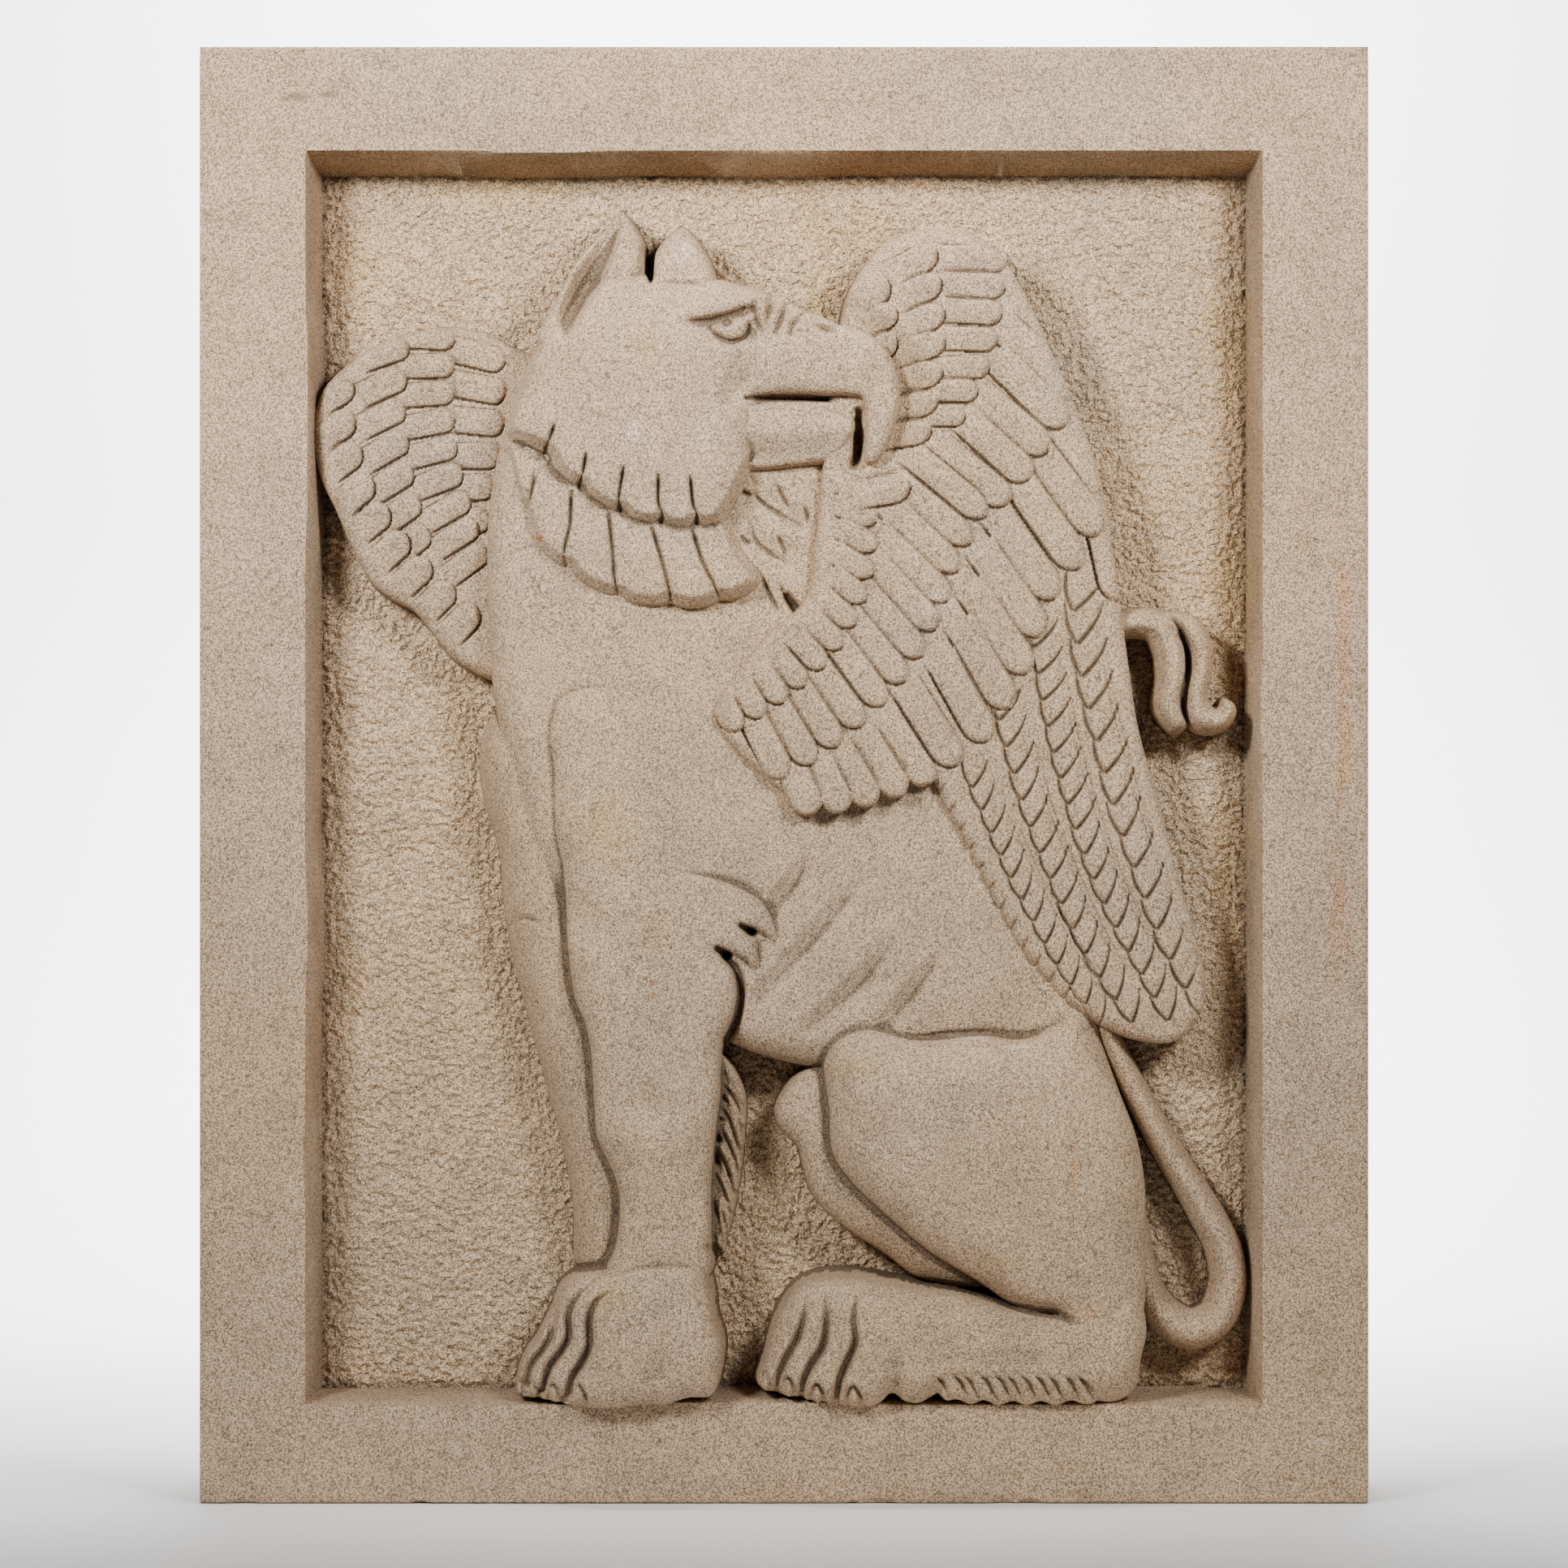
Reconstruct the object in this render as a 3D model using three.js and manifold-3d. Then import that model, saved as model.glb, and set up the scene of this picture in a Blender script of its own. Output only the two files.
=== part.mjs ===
// A stone relief panel: a seated griffin carved out of one sandstone slab,
// inside a plain raised border.
//
// Units are millimetres. The carving is modelled lying flat: x runs across the
// panel, y up it, and z out of the stone, from 0 on the back. The last lines
// stand it up, so that the finished part has +Z up and its face towards -Y.

import * as THREE from 'three';
import { mergeVertices } from 'three/addons/utils/BufferGeometryUtils.js';
import Module from 'manifold-3d';

const wasm = await Module();
wasm.setup();

// ---------------------------------------------------------------- dimensions

const PANEL = { width: 610, height: 760, thick: 95 };
const RECESS = 45; // from the border's face down to the ground of the relief
const PROUD = 25; // how far the head and paws stand past the border's face
const TOP = RECESS + PROUD; // the tallest carving, above the ground
const GROUND = PANEL.thick - RECESS; // the ground's height above the back
const BORDER = { side: 56, top: 55, bottom: 52 };
const BATTER = { side: 4, top: 8, bottom: 3 }; // how far each wall leans in
const ROOT = 6; // how deep every form is rooted in the stone behind it

// Heights of the main levels above the ground.
const LEVEL = {
  farWing: 24,
  nearWing: 44,
  chest: 50,
  flank: 42,
  beak: 62,
  haunch: 64,
  paw: 62,
  toeRoot: 48,
};

// ------------------------------------------------------------------- solids

function solid(geometry) {
  for (const name of ['normal', 'uv']) geometry.deleteAttribute(name);
  return closed(mergeVertices(geometry, 1e-4));
}

function closed(geometry) {
  const vertProperties = new Float32Array(geometry.attributes.position.array);
  const triVerts = new Uint32Array(geometry.index.array);
  return new wasm.Manifold(new wasm.Mesh({ numProp: 3, vertProperties, triVerts }));
}

function join(solids) {
  return solids.reduce((whole, next) => whole.add(next));
}

function curveThrough(points, closed = false) {
  const places = points.map(([x, y]) => new THREE.Vector3(x, y, 0));
  return new THREE.CatmullRomCurve3(places, closed, 'centripetal');
}

// Rings of equal length, one after another, closed at both ends by the same
// triangles, which are given on the last ring as seen from outside.
function skin(rings, cap) {
  const sides = rings[0].length;
  const index = [];
  for (let ring = 1; ring < rings.length; ring += 1) {
    for (let side = 0; side < sides; side += 1) {
      const a = (ring - 1) * sides + side;
      const b = (ring - 1) * sides + ((side + 1) % sides);
      index.push(a, b, b + sides, a, b + sides, a + sides);
    }
  }
  const last = (rings.length - 1) * sides;
  for (const [a, b, c] of cap) index.push(c, b, a, last + a, last + b, last + c);
  const geometry = new THREE.BufferGeometry().setFromPoints(rings.flat());
  geometry.setIndex(index);
  return closed(geometry);
}

// A rounded ridge along a curve, such as a leg, a toe or the tail. Each station
// is [x, y, half width, height above the ground]. The ends are rounded off.
const RIDGE_SIDES = 6;
const RIDGE_FULLNESS = 0.45; // under 1 makes the flanks steeper than a half round
const END_ROUND = [
  { along: 0.75, width: 0.35, height: 0.82 },
  { along: 0.5, width: 0.8, height: 0.94 },
];

function ridge(stations, steps = 10, sides = RIDGE_SIDES) {
  const path = curveThrough(stations);
  const size = curveThrough(stations.map(([, , half, height]) => [half, height]));
  const ring = (t, slide, widthScale, heightScale) => {
    const heading = path.getTangent(t);
    const { x: half, y: height } = size.getPoint(t);
    const centre = path.getPoint(t).addScaledVector(heading, slide * half);
    const across = new THREE.Vector3(-heading.y, heading.x, 0);
    const at = (side, out) => centre.clone().addScaledVector(across, side).setZ(GROUND + out);
    const points = [at(-half * widthScale, -ROOT), at(half * widthScale, -ROOT)];
    for (let side = 0; side <= sides; side += 1) {
      const angle = (Math.PI * side) / sides;
      const rise = Math.sin(angle) ** RIDGE_FULLNESS;
      points.push(at(Math.cos(angle) * half * widthScale, rise * height * heightScale));
    }
    return points;
  };
  const rings = END_ROUND.map((end) => ring(0, -end.along, end.width, end.height));
  for (let step = 0; step <= steps; step += 1) rings.push(ring(step / steps, 0, 1, 1));
  rings.push(...END_ROUND.map((end) => ring(1, end.along, end.width, end.height)).reverse());
  const fan = Array.from({ length: sides + 1 }, (_, i) => [0, i + 1, i + 2]);
  return skin(rings, fan);
}

// A form with rounded edges, from an outline that a curve runs through. Its top
// is flat, or follows a function of the place. The edge is a quarter round.
const ROUND_STEPS = 3;

function pad(outline, top, round, points = 36) {
  const height = typeof top === 'function' ? top : () => top;
  const spaced = curveThrough(outline, true).getSpacedPoints(points).slice(0, -1);
  const edge = spaced.map(({ x, y }) => new THREE.Vector2(x, y));
  if (THREE.ShapeUtils.isClockWise(edge)) edge.reverse();
  const inward = edge.map((point, i) => {
    const before = edge.at(i - 1);
    const after = edge[(i + 1) % edge.length];
    const heading = after.clone().sub(before).normalize();
    return new THREE.Vector2(-heading.y, heading.x);
  });
  const ring = (inset, drop) => edge.map((point, i) => {
    const place = point.clone().addScaledVector(inward[i], inset);
    return new THREE.Vector3(place.x, place.y, GROUND + height(place) - drop);
  });
  const rings = [edge.map(({ x, y }) => new THREE.Vector3(x, y, GROUND - ROOT))];
  for (let step = 0; step <= ROUND_STEPS; step += 1) {
    const turn = (Math.PI / 2) * (step / ROUND_STEPS);
    rings.push(ring(round * (1 - Math.cos(turn)), round * (1 - Math.sin(turn))));
  }
  return skin(rings, THREE.ShapeUtils.triangulateShape(edge, []));
}

// One feather or scale: a tongue that lies along a heading and ends in a blunt
// point. It climbs by the lift from its root to its tip, and leans across by the
// cant, so that each one stands over the next.
const TONGUE = { shoulder: 0.5, cant: 1 };

function tongue({ tip, heading, length, width, level, lift }) {
  const half = width / 2;
  const shoulder = length - width * TONGUE.shoulder;
  const outline = [[0, -half], [shoulder, -half], [length, 0], [shoulder, half], [0, half]];
  const shape = new THREE.Shape(outline.map(([x, y]) => new THREE.Vector2(x, y)));
  const geometry = new THREE.ExtrudeGeometry(shape, { depth: 1, bevelEnabled: false });
  const place = geometry.attributes.position;
  for (let i = 0; i < place.count; i += 1) {
    const climb = (lift * place.getX(i)) / length - (TONGUE.cant * place.getY(i)) / half;
    place.setZ(i, place.getZ(i) > 0 ? level + climb : -ROOT);
  }
  geometry.translate(-length, 0, 0);
  geometry.rotateZ(THREE.MathUtils.degToRad(heading));
  geometry.translate(tip[0], tip[1], GROUND);
  return solid(geometry);
}

// A row of tongues whose tips follow a curve. The heading and the level run
// evenly from the first value to the second, and neighbours overlap a little.
function row({ tips, count, heading, length, width, level, lift }) {
  const line = curveThrough(tips);
  const between = ([from, to], t) => from + (to - from) * t;
  return Array.from({ length: count }, (_, i) => {
    const t = count > 1 ? i / (count - 1) : 0.5;
    const { x, y } = line.getPointAt(t);
    return tongue({
      tip: [x, y],
      heading: between(heading, t),
      length: between(length, t),
      width: between(width, t),
      level: between(level, t),
      lift,
    });
  });
}

// -------------------------------------------------------------------- slab

// The walls of the field lean in, so its floor is a little smaller than its
// opening. The cut runs on past the border's face along the same slopes.
function slab() {
  const { width, height, thick } = PANEL;
  const block = new THREE.BoxGeometry(width, height, thick).translate(0, height / 2, thick / 2);
  const field = new THREE.BoxGeometry(1, 1, 1);
  const place = field.attributes.position;
  for (let i = 0; i < place.count; i += 1) {
    const outer = place.getZ(i) > 0;
    const lean = outer ? -ROOT / RECESS : 1;
    const side = width / 2 - BORDER.side - lean * BATTER.side;
    const low = BORDER.bottom + lean * BATTER.bottom;
    const high = height - BORDER.top - lean * BATTER.top;
    place.setX(i, Math.sign(place.getX(i)) * side);
    place.setY(i, place.getY(i) > 0 ? high : low);
    place.setZ(i, outer ? thick + ROOT : GROUND);
  }
  return solid(block).subtract(solid(field));
}

// -------------------------------------------------------------------- body

// A level that runs evenly from one value to another between two places.
function ramp(x, [start, end], [from, to]) {
  return THREE.MathUtils.mapLinear(THREE.MathUtils.clamp(x, start, end), start, end, from, to);
}

// The chest stands out further than the flank.
function torsoLevel({ x }) {
  return ramp(x, [-70, 20], [LEVEL.chest, LEVEL.flank]);
}

function torso() {
  return join([
    pad([[-126, 600], [-148, 556], [-156, 495], [-153, 430], [-150, 380], [-135, 322],
      [-112, 285], [-70, 262], [-33, 246], [5, 229], [60, 224], [130, 228], [165, 243],
      [158, 290], [130, 350], [90, 430], [50, 500], [24, 556], [-10, 582], [-60, 605]],
    torsoLevel, 16, 34),
    // the swell of the neck and chest
    ridge([[-94, 560, 54, 58], [-92, 510, 60, 58], [-84, 460, 62, 56], [-72, 400, 60, 54]], 5),
    ...RIBS.map(([[x0, y0], [x1, y1]]) => ridge([[x0, y0, 13, 44], [x1, y1, 15, 45]], 1, 4)),
  ]);
}

// The ribs that show on the flank, each from its upper end to its lower one.
const RIBS = [[[8, 330], [-8, 282]], [[46, 302], [18, 264]], [[74, 288], [54, 258]]];

function foreleg() {
  return join([
    ridge([[-76, 396, 46, 56], [-70, 365, 51, 60], [-70, 325, 49, 61], [-71, 285, 41, 61],
      [-68, 240, 34, 60], [-67, 205, 31, 60], [-64, 168, 24, 58], [-63, 140, 24, 58],
      [-66, 116, 28, 60], [-72, 104, 32, 63]], 12),
    // the point of the elbow
    ridge([[-34, 316, 14, 57], [-20, 308, 9, 57], [-9, 297, 3, 55]], 2, 4),
    // the fringe of hair behind the shin
    ridge([[-27, 221, 5, 28], [-28, 190, 7, 30], [-31, 160, 6, 29], [-35, 132, 4, 27]], 5, 4),
  ]);
}

function farForeleg() {
  return ridge([[-141, 395, 20, 40], [-136, 350, 16, 41], [-129, 303, 19, 40],
    [-117, 255, 17, 39], [-107, 205, 17, 38], [-98, 160, 14, 36], [-97, 124, 14, 36]], 11);
}

// Toes are ridges side by side, each from the knuckle down to the claw.
const TOE_BEND = 0.45;

function toes(count, first, last) {
  return Array.from({ length: count }, (_, i) => {
    const t = i / (count - 1);
    const mix = (key, k) => first[key][k] + (last[key][k] - first[key][k]) * t;
    const [kx, ky, x, y] = [mix('knuckle', 0), mix('knuckle', 1), mix('claw', 0), mix('claw', 1)];
    const half = first.half + (last.half - first.half) * t;
    const bend = [kx + (x - kx) * TOE_BEND - half * 0.3, ky + (y - ky) * TOE_BEND];
    return join([
      ridge([[kx, ky, half * 0.8, TOP - 7], [...bend, half, TOP - 3], [x, y, half, TOP - 8]], 3, 4),
      ridge([[x - half * 0.3, y + 3, 3, TOP - 5], [x - half * 0.4, y - 3, 1.5, TOP - 9]], 1, 4),
    ]);
  });
}

// The foot falls away from its outer side towards the toes.
function pawLevel({ x }) {
  return ramp(x, [-130, -75], [LEVEL.toeRoot, LEVEL.paw]);
}

function forePaw() {
  return join([
    pad([[-97, 118], [-120, 104], [-133, 80], [-138, 56], [-92, 51], [-60, 52], [-38, 55],
      [-34, 80], [-39, 112], [-66, 122]], pawLevel, 9, 24),
    ridge([[-68, 104, 24, TOP - 4], [-64, 88, 27, TOP], [-66, 76, 24, TOP - 2]], 3),
    ...toes(4,
      { knuckle: [-111, 108], claw: [-133, 61], half: 7 },
      { knuckle: [-84, 108], claw: [-94, 60], half: 11 }),
  ]);
}

function haunch() {
  return join([
    pad([[22, 232], [42, 248], [75, 243], [112, 243], [150, 252], [168, 230], [183, 196],
      [189, 155], [184, 116], [160, 96], [128, 98], [100, 114], [72, 131], [44, 158],
      [26, 180], [22, 205]], LEVEL.haunch, 25, 34),
    // the far knee and shin, lower and behind
    ridge([[12, 212, 14, 37], [15, 188, 19, 38], [33, 160, 17, 35], [62, 134, 16, 33]], 6),
  ]);
}

function hindFootLevel({ x }) {
  return ramp(x, [-5, 55], [LEVEL.toeRoot, LEVEL.paw - 4]);
}

function hindFoot() {
  return join([
    pad([[-14, 60], [-6, 90], [6, 111], [36, 117], [80, 111], [120, 103], [160, 101],
      [188, 98], [187, 72], [178, 53], [120, 55], [79, 60], [60, 54], [30, 51]],
    hindFootLevel, 9, 30),
    ridge([[170, 76, 20, TOP - 8], [120, 83, 18, TOP - 6], [80, 84, 22, TOP - 4],
      [60, 82, 24, TOP]], 4),
    ...toes(4,
      { knuckle: [2, 98], claw: [-9, 64], half: 6 },
      { knuckle: [34, 103], claw: [38, 59], half: 11 }),
  ]);
}

function tail() {
  return join([
    ridge([[184, 172, 3, 30], [187, 140, 6, 31], [191, 114, 9, 31], [200, 95, 11, 31],
      [215, 87, 12, 31], [230, 94, 11, 30], [235, 112, 10, 30], [229, 136, 10, 29],
      [215, 160, 9, 28], [198, 188, 8, 28], [183, 216, 7, 28], [170, 243, 6, 28]], 20, 5),
    // the tuft, above, on the far side of the wing
    ridge([[178, 458, 6, 34], [192, 461, 9, 37], [203, 450, 10, 38], [206, 430, 10, 38],
      [204, 412, 9, 36]], 6, 4),
    ridge([[202, 459, 7, 35], [215, 454, 11, 37], [220, 438, 9, 36], [215, 418, 9, 36],
      [225, 408, 7, 38], [233, 412, 5, 36]], 6, 4),
  ]);
}

// -------------------------------------------------------------------- head

function head() {
  return join([
    pad([[-112, 637], [-130, 603], [-146, 566], [-128, 552], [-95, 535], [-55, 523],
      [-30, 524], [-24, 545], [-20, 572], [6, 580], [9, 618], [-10, 634], [-40, 634],
      [-75, 644]], TOP, 24, 34),
    // the bill, hooked over the jaw, and the floor of the open mouth between them
    pad([[-24, 580], [-4, 576], [18, 575], [36, 573], [46, 566], [56, 564], [59, 576],
      [56, 594], [46, 607], [27, 614], [8, 622], [-18, 627]], LEVEL.beak, 9, 26),
    ridge([[51, 580, 8, 62], [50.5, 560, 7, 60], [47, 547, 3.5, 57]], 3, 4),
    ridge([[-28, 558, 16, 62], [2, 557, 16, 58], [20, 557, 14, 54], [28, 559, 9, 50]], 4),
    ridge([[-10, 566, 12, 40], [32, 566, 10, 40]], 1, 4),
    // the brow over the eye
    ridge([[-46, 618, 3, 68], [-32, 622, 5, 70], [-14, 629, 6, TOP], [-10, 631, 4, 69]], 3, 4),
    ridge([[-34, 612, 3, 67], [-28, 611, 6, 69], [-23, 612, 4, 67]], 2, 4),
  ]);
}

const EAR_HOLLOW_FLOOR = 40;

function ears() {
  // each ear is a leaf-shaped ridge; the near one is hollowed along its back edge
  const leaf = new THREE.Shape([[-115, 617], [-99, 628], [-86, 667], [-104, 648]].map(
    ([x, y]) => new THREE.Vector2(x, y),
  ));
  const hollow = new THREE.ExtrudeGeometry(leaf, { depth: 20, bevelEnabled: false });
  hollow.translate(0, 0, GROUND + EAR_HOLLOW_FLOOR);
  return join([
    ridge([[-102, 612, 26, 52], [-99, 636, 21, 51], [-92, 656, 12, 49], [-86, 670, 3, 47]], 6)
      .subtract(solid(hollow)),
    ridge([[-52, 630, 18, 50], [-53, 646, 13, 49], [-54, 662, 3, 46]], 4),
  ]);
}

function collar() {
  const scale = { lift: 2, length: [24, 26], width: [23, 20] };
  return join([
    ...row({ ...scale, tips: [[-124, 542], [-105, 527], [-78, 511], [-54, 507], [-38, 508]],
      count: 6, heading: [-122, -88], level: [60, 64] }),
    ...row({ ...scale, tips: [[-134, 508], [-112, 486], [-75, 468], [-42, 466], [-24, 474]],
      count: 6, heading: [-122, -78], length: [36, 36], width: [28, 24], level: [56, 59] }),
  ]);
}

// ------------------------------------------------------------------- wings

function farWing() {
  const feather = { lift: 3, length: [30, 26], width: [21, 20] };
  return join([
    pad([[-130, 599], [-158, 612], [-190, 613], [-222, 601], [-242, 582], [-247, 556],
      [-240, 526], [-225, 494], [-200, 469], [-178, 442], [-152, 430], [-140, 500]],
    LEVEL.farWing, 6, 32),
    ...row({ ...feather, tips: [[-226, 586], [-222, 549], [-206, 517], [-182, 488], [-161, 466]],
      count: 9, heading: [24, 42], length: [13, 16], level: [29, 29] }),
    ...row({ ...feather, tips: [[-198, 603], [-199, 575], [-194, 538], [-186, 506]],
      count: 7, heading: [24, 40], level: [27, 27] }),
    ...row({ ...feather, tips: [[-172, 606], [-173, 571], [-166, 532], [-156, 499]],
      count: 8, heading: [14, 36], level: [25.5, 25.5] }),
    ...row({ ...feather, tips: [[-148, 592], [-147, 566], [-150, 536]],
      count: 4, heading: [-12, 6], length: [28, 22], level: [24, 24] }),
  ]);
}

// The near wing falls away from the shoulder to its tip, so its plate is tilted.
const WING = { shoulder: [20, 440], tip: [215, 245], fall: 14 };

function wingLevel({ x, y }) {
  const [sx, sy] = WING.shoulder;
  const [tx, ty] = WING.tip;
  const span = (tx - sx) ** 2 + (ty - sy) ** 2;
  const t = ((x - sx) * (tx - sx) + (y - sy) * (ty - sy)) / span;
  return LEVEL.nearWing - WING.fall * THREE.MathUtils.clamp(t, 0, 1);
}

// Each flight feather is a long tongue, stepped in overlapping joints like the rows.
const FLIGHT = { joints: 5, width: 24, overlap: 1.25, lift: 1.5 };

function flightFeather(line, step) {
  const path = curveThrough(line);
  return Array.from({ length: FLIGHT.joints }, (_, i) => {
    const t = (i + 1) / FLIGHT.joints;
    const { x, y } = path.getPointAt(t);
    const heading = path.getTangentAt(t);
    return tongue({
      tip: [x, y],
      heading: THREE.MathUtils.radToDeg(Math.atan2(heading.y, heading.x)),
      length: (path.getLength() / FLIGHT.joints) * FLIGHT.overlap,
      width: FLIGHT.width,
      level: wingLevel({ x, y }) + step,
      lift: FLIGHT.lift,
    });
  });
}

function nearWing() {
  const small = { lift: 3.5, length: [30, 30], width: [18, 18] };
  const outline = [[22, 560], [26, 600], [36, 635], [58, 660], [84, 665], [112, 652], [132, 618],
    [156, 565], [171, 505], [180, 430], [194, 370], [212, 305], [220, 268], [208, 240],
    [176, 243], [140, 268], [112, 310], [90, 352], [66, 374], [14, 360], [-22, 386],
    [-38, 410], [-20, 440], [8, 470]];
  return join([
    pad(outline, wingLevel, 7, 40),
    // the shoulder of the wing, under the small feathers
    ridge([[64, 636, 26, 50], [58, 590, 28, 50], [50, 530, 28, 50], [22, 470, 30, 53],
      [-6, 430, 26, 53]], 7),
    ...row({ ...small, tips: [[80, 650], [83, 610], [76, 558]],
      count: 7, heading: [28, -16], level: [52, 52] }),
    ...row({ ...small, tips: [[116, 634], [108, 600], [94, 562]],
      count: 6, heading: [2, -8], length: [34, 30], level: [48, 49] }),
    ...row({ ...small, tips: [[152, 573], [147, 562], [138, 550], [129, 538], [118, 526]],
      count: 5, heading: [-52, -46], length: [56, 44], level: [44, 46] }),
    ...row({ ...small, tips: [[46, 520], [45, 475], [10, 426], [-22, 400]],
      count: 11, heading: [-35, -62], length: [22, 26], level: [54, 54] }),
    ...row({ ...small, tips: [[106, 514], [86, 474], [46, 408], [0, 376]],
      count: 11, heading: [-50, -62], length: [44, 36], level: [50, 51] }),
    ...row({ ...small, tips: [[165, 506], [137, 460], [92, 386], [48, 363], [12, 359]],
      count: 12, heading: [-58, -60], length: [48, 32], width: [22, 20], level: [45, 47] }),
    ...flightFeather([[158, 500], [165, 420], [187, 340], [211, 262]], 0.4),
    ...flightFeather([[142, 470], [148, 400], [170, 330], [200, 256]], 1.2),
    ...flightFeather([[124, 440], [130, 380], [150, 320], [184, 253]], 2),
    ...flightFeather([[106, 410], [112, 360], [132, 310], [166, 254]], 2.8),
  ]);
}

// ------------------------------------------------------------------ object

// Forms that cross can shut off small pockets between them. Only the outermost
// skin is kept, which fills those.
function carving() {
  const stone = join([slab(), torso(), farForeleg(), foreleg(), forePaw(), haunch(), hindFoot(),
    tail(), farWing(), nearWing(), ears(), head(), collar()]);
  const skins = stone.decompose();
  return skins.reduce((outer, next) => (next.volume() > outer.volume() ? next : outer));
}

function standUp(stone) {
  const { vertProperties, triVerts } = stone.getMesh();
  const geometry = new THREE.BufferGeometry();
  geometry.setAttribute('position', new THREE.BufferAttribute(vertProperties, 3));
  geometry.setIndex(new THREE.BufferAttribute(triVerts, 1));
  geometry.rotateX(Math.PI / 2);
  geometry.translate(0, (GROUND + TOP) / 2, 0);
  geometry.computeVertexNormals();
  return geometry;
}

const sandstone = new THREE.MeshStandardMaterial({
  color: 0xb9a791,
  roughness: 0.95,
  metalness: 0,
  flatShading: true,
});

const panel = new THREE.Mesh(standUp(carving()), sandstone);
panel.name = 'griffin_relief';

const object = new THREE.Group();
object.add(panel);

export default object;
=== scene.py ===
# %% [markdown]
# # A carved sandstone panel: the seated griffin
#
# The real object is one block of sandstone, 610 mm wide and 760 mm high. A
# mason cut a field down into it, left a plain border round the edge, and left a
# seated griffin standing in the field: bill and ears, collar scales, lion's body,
# paws, two wings and a tail that loops up behind.
#
# A relief is special among shapes: seen from the front, every point of it has
# just one height. So it can be modelled as a sheet of heights, with one number
# for each place, and carved by raising and lowering those numbers. That is close
# to what the mason does, who draws the figure on the face and cuts down from it.
# Sculpting by hand in Blender would also do, but could not be repeated, and
# joining hundreds of separate solids would leave hard seams in what is one stone.

# %% Load the frame
import math

import bpy
import numpy as np
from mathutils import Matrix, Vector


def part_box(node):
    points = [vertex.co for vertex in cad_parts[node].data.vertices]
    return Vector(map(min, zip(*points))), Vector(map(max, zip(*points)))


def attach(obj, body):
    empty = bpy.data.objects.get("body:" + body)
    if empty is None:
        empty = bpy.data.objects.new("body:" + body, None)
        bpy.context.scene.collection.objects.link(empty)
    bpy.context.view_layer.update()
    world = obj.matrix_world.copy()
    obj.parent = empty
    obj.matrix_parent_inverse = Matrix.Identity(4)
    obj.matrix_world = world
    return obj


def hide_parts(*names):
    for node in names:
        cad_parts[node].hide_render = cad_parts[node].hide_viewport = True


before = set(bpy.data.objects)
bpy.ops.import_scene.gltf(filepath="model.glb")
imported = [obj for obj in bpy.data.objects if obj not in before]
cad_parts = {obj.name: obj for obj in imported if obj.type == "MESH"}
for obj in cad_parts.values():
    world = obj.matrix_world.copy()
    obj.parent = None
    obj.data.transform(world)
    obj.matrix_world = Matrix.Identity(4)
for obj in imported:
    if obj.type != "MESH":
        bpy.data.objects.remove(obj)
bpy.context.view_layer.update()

LOW, HIGH = (np.array(corner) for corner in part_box("griffin_relief"))
print("the block, in metres:", np.round(HIGH - LOW, 3))

# %% [markdown]
# ## Measures
#
# The carving is worked out in millimetres on a drawing plane, as on a mason's
# full-size drawing: x to the right from the panel's middle, z up from its
# underside, and heights out of the stone, counted from the ground of the relief.
# One function turns a height into Blender's y, which runs away from the viewer.

# %% Measures of the panel
MM = 0.001
WIDTH, DEEP, TALL = (HIGH - LOW) / MM
SLAB = 95.0  # thickness of the block at the border
RECESS = 45.0  # from the border's face down to the ground
TOP = DEEP - SLAB + RECESS  # the tallest carving above the ground
BORDER_SIDE, BORDER_TOP, BORDER_FOOT = 56.0, 55.0, 52.0
BATTER_SIDE, BATTER_TOP, BATTER_FOOT = 4.0, 8.0, 3.0  # how far each wall leans in
ABSENT = -14.0  # the height of a form where there is none: inside the block
DUG_IN = -13.0  # forms are kept down to here, so that their skirts end inside the block
UNDERSIDE = -20.0  # where a piece's flat underside lies
PLATE = 6.0  # whatever stands higher than this belongs to a wing's plate
OPEN_X = WIDTH / 2 - BORDER_SIDE
OPEN_LOW, OPEN_HIGH = BORDER_FOOT, TALL - BORDER_TOP


def height_to_y(height):
    """Blender's y, in metres, of a height in millimetres above the ground."""
    return HIGH[1] - (SLAB - RECESS + height) * MM


print(f"tallest carving {TOP:.0f} mm above the ground, {TOP - RECESS:.0f} mm past the border")

# %% [markdown]
# ## Camera, light and room
#
# The camera looks at the panel squarely, at the height of its middle, from far
# enough away for the walls of the field to show only as thin lines. The light is
# what a stone studio would use: a large soft lamp high on each side, so that the
# ground is shaded along both edges of the figure, and high enough for the bill and
# the paws to throw a soft shadow down. A third lamp only brightens the backdrop.

# %% Camera, light and room
CAMERA_AWAY = 2.6
CAMERA_HIGH = 0.3752
VIEW_WIDTH = 0.818  # how much the picture takes in, at the border's face


def new_object(name, data):
    """An object in the scene, made of this data."""
    thing = bpy.data.objects.new(name, data)
    bpy.context.scene.collection.objects.link(thing)
    return thing


camera_data = bpy.data.cameras.new("camera")
camera = new_object("camera", camera_data)
FACE_Y = height_to_y(RECESS)
camera.location = (0.0, FACE_Y - CAMERA_AWAY, CAMERA_HIGH)
camera.rotation_euler = (math.radians(90), 0, 0)
camera_data.sensor_width = 36
camera_data.lens = 36 * CAMERA_AWAY / VIEW_WIDTH
bpy.context.scene.camera = camera


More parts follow.
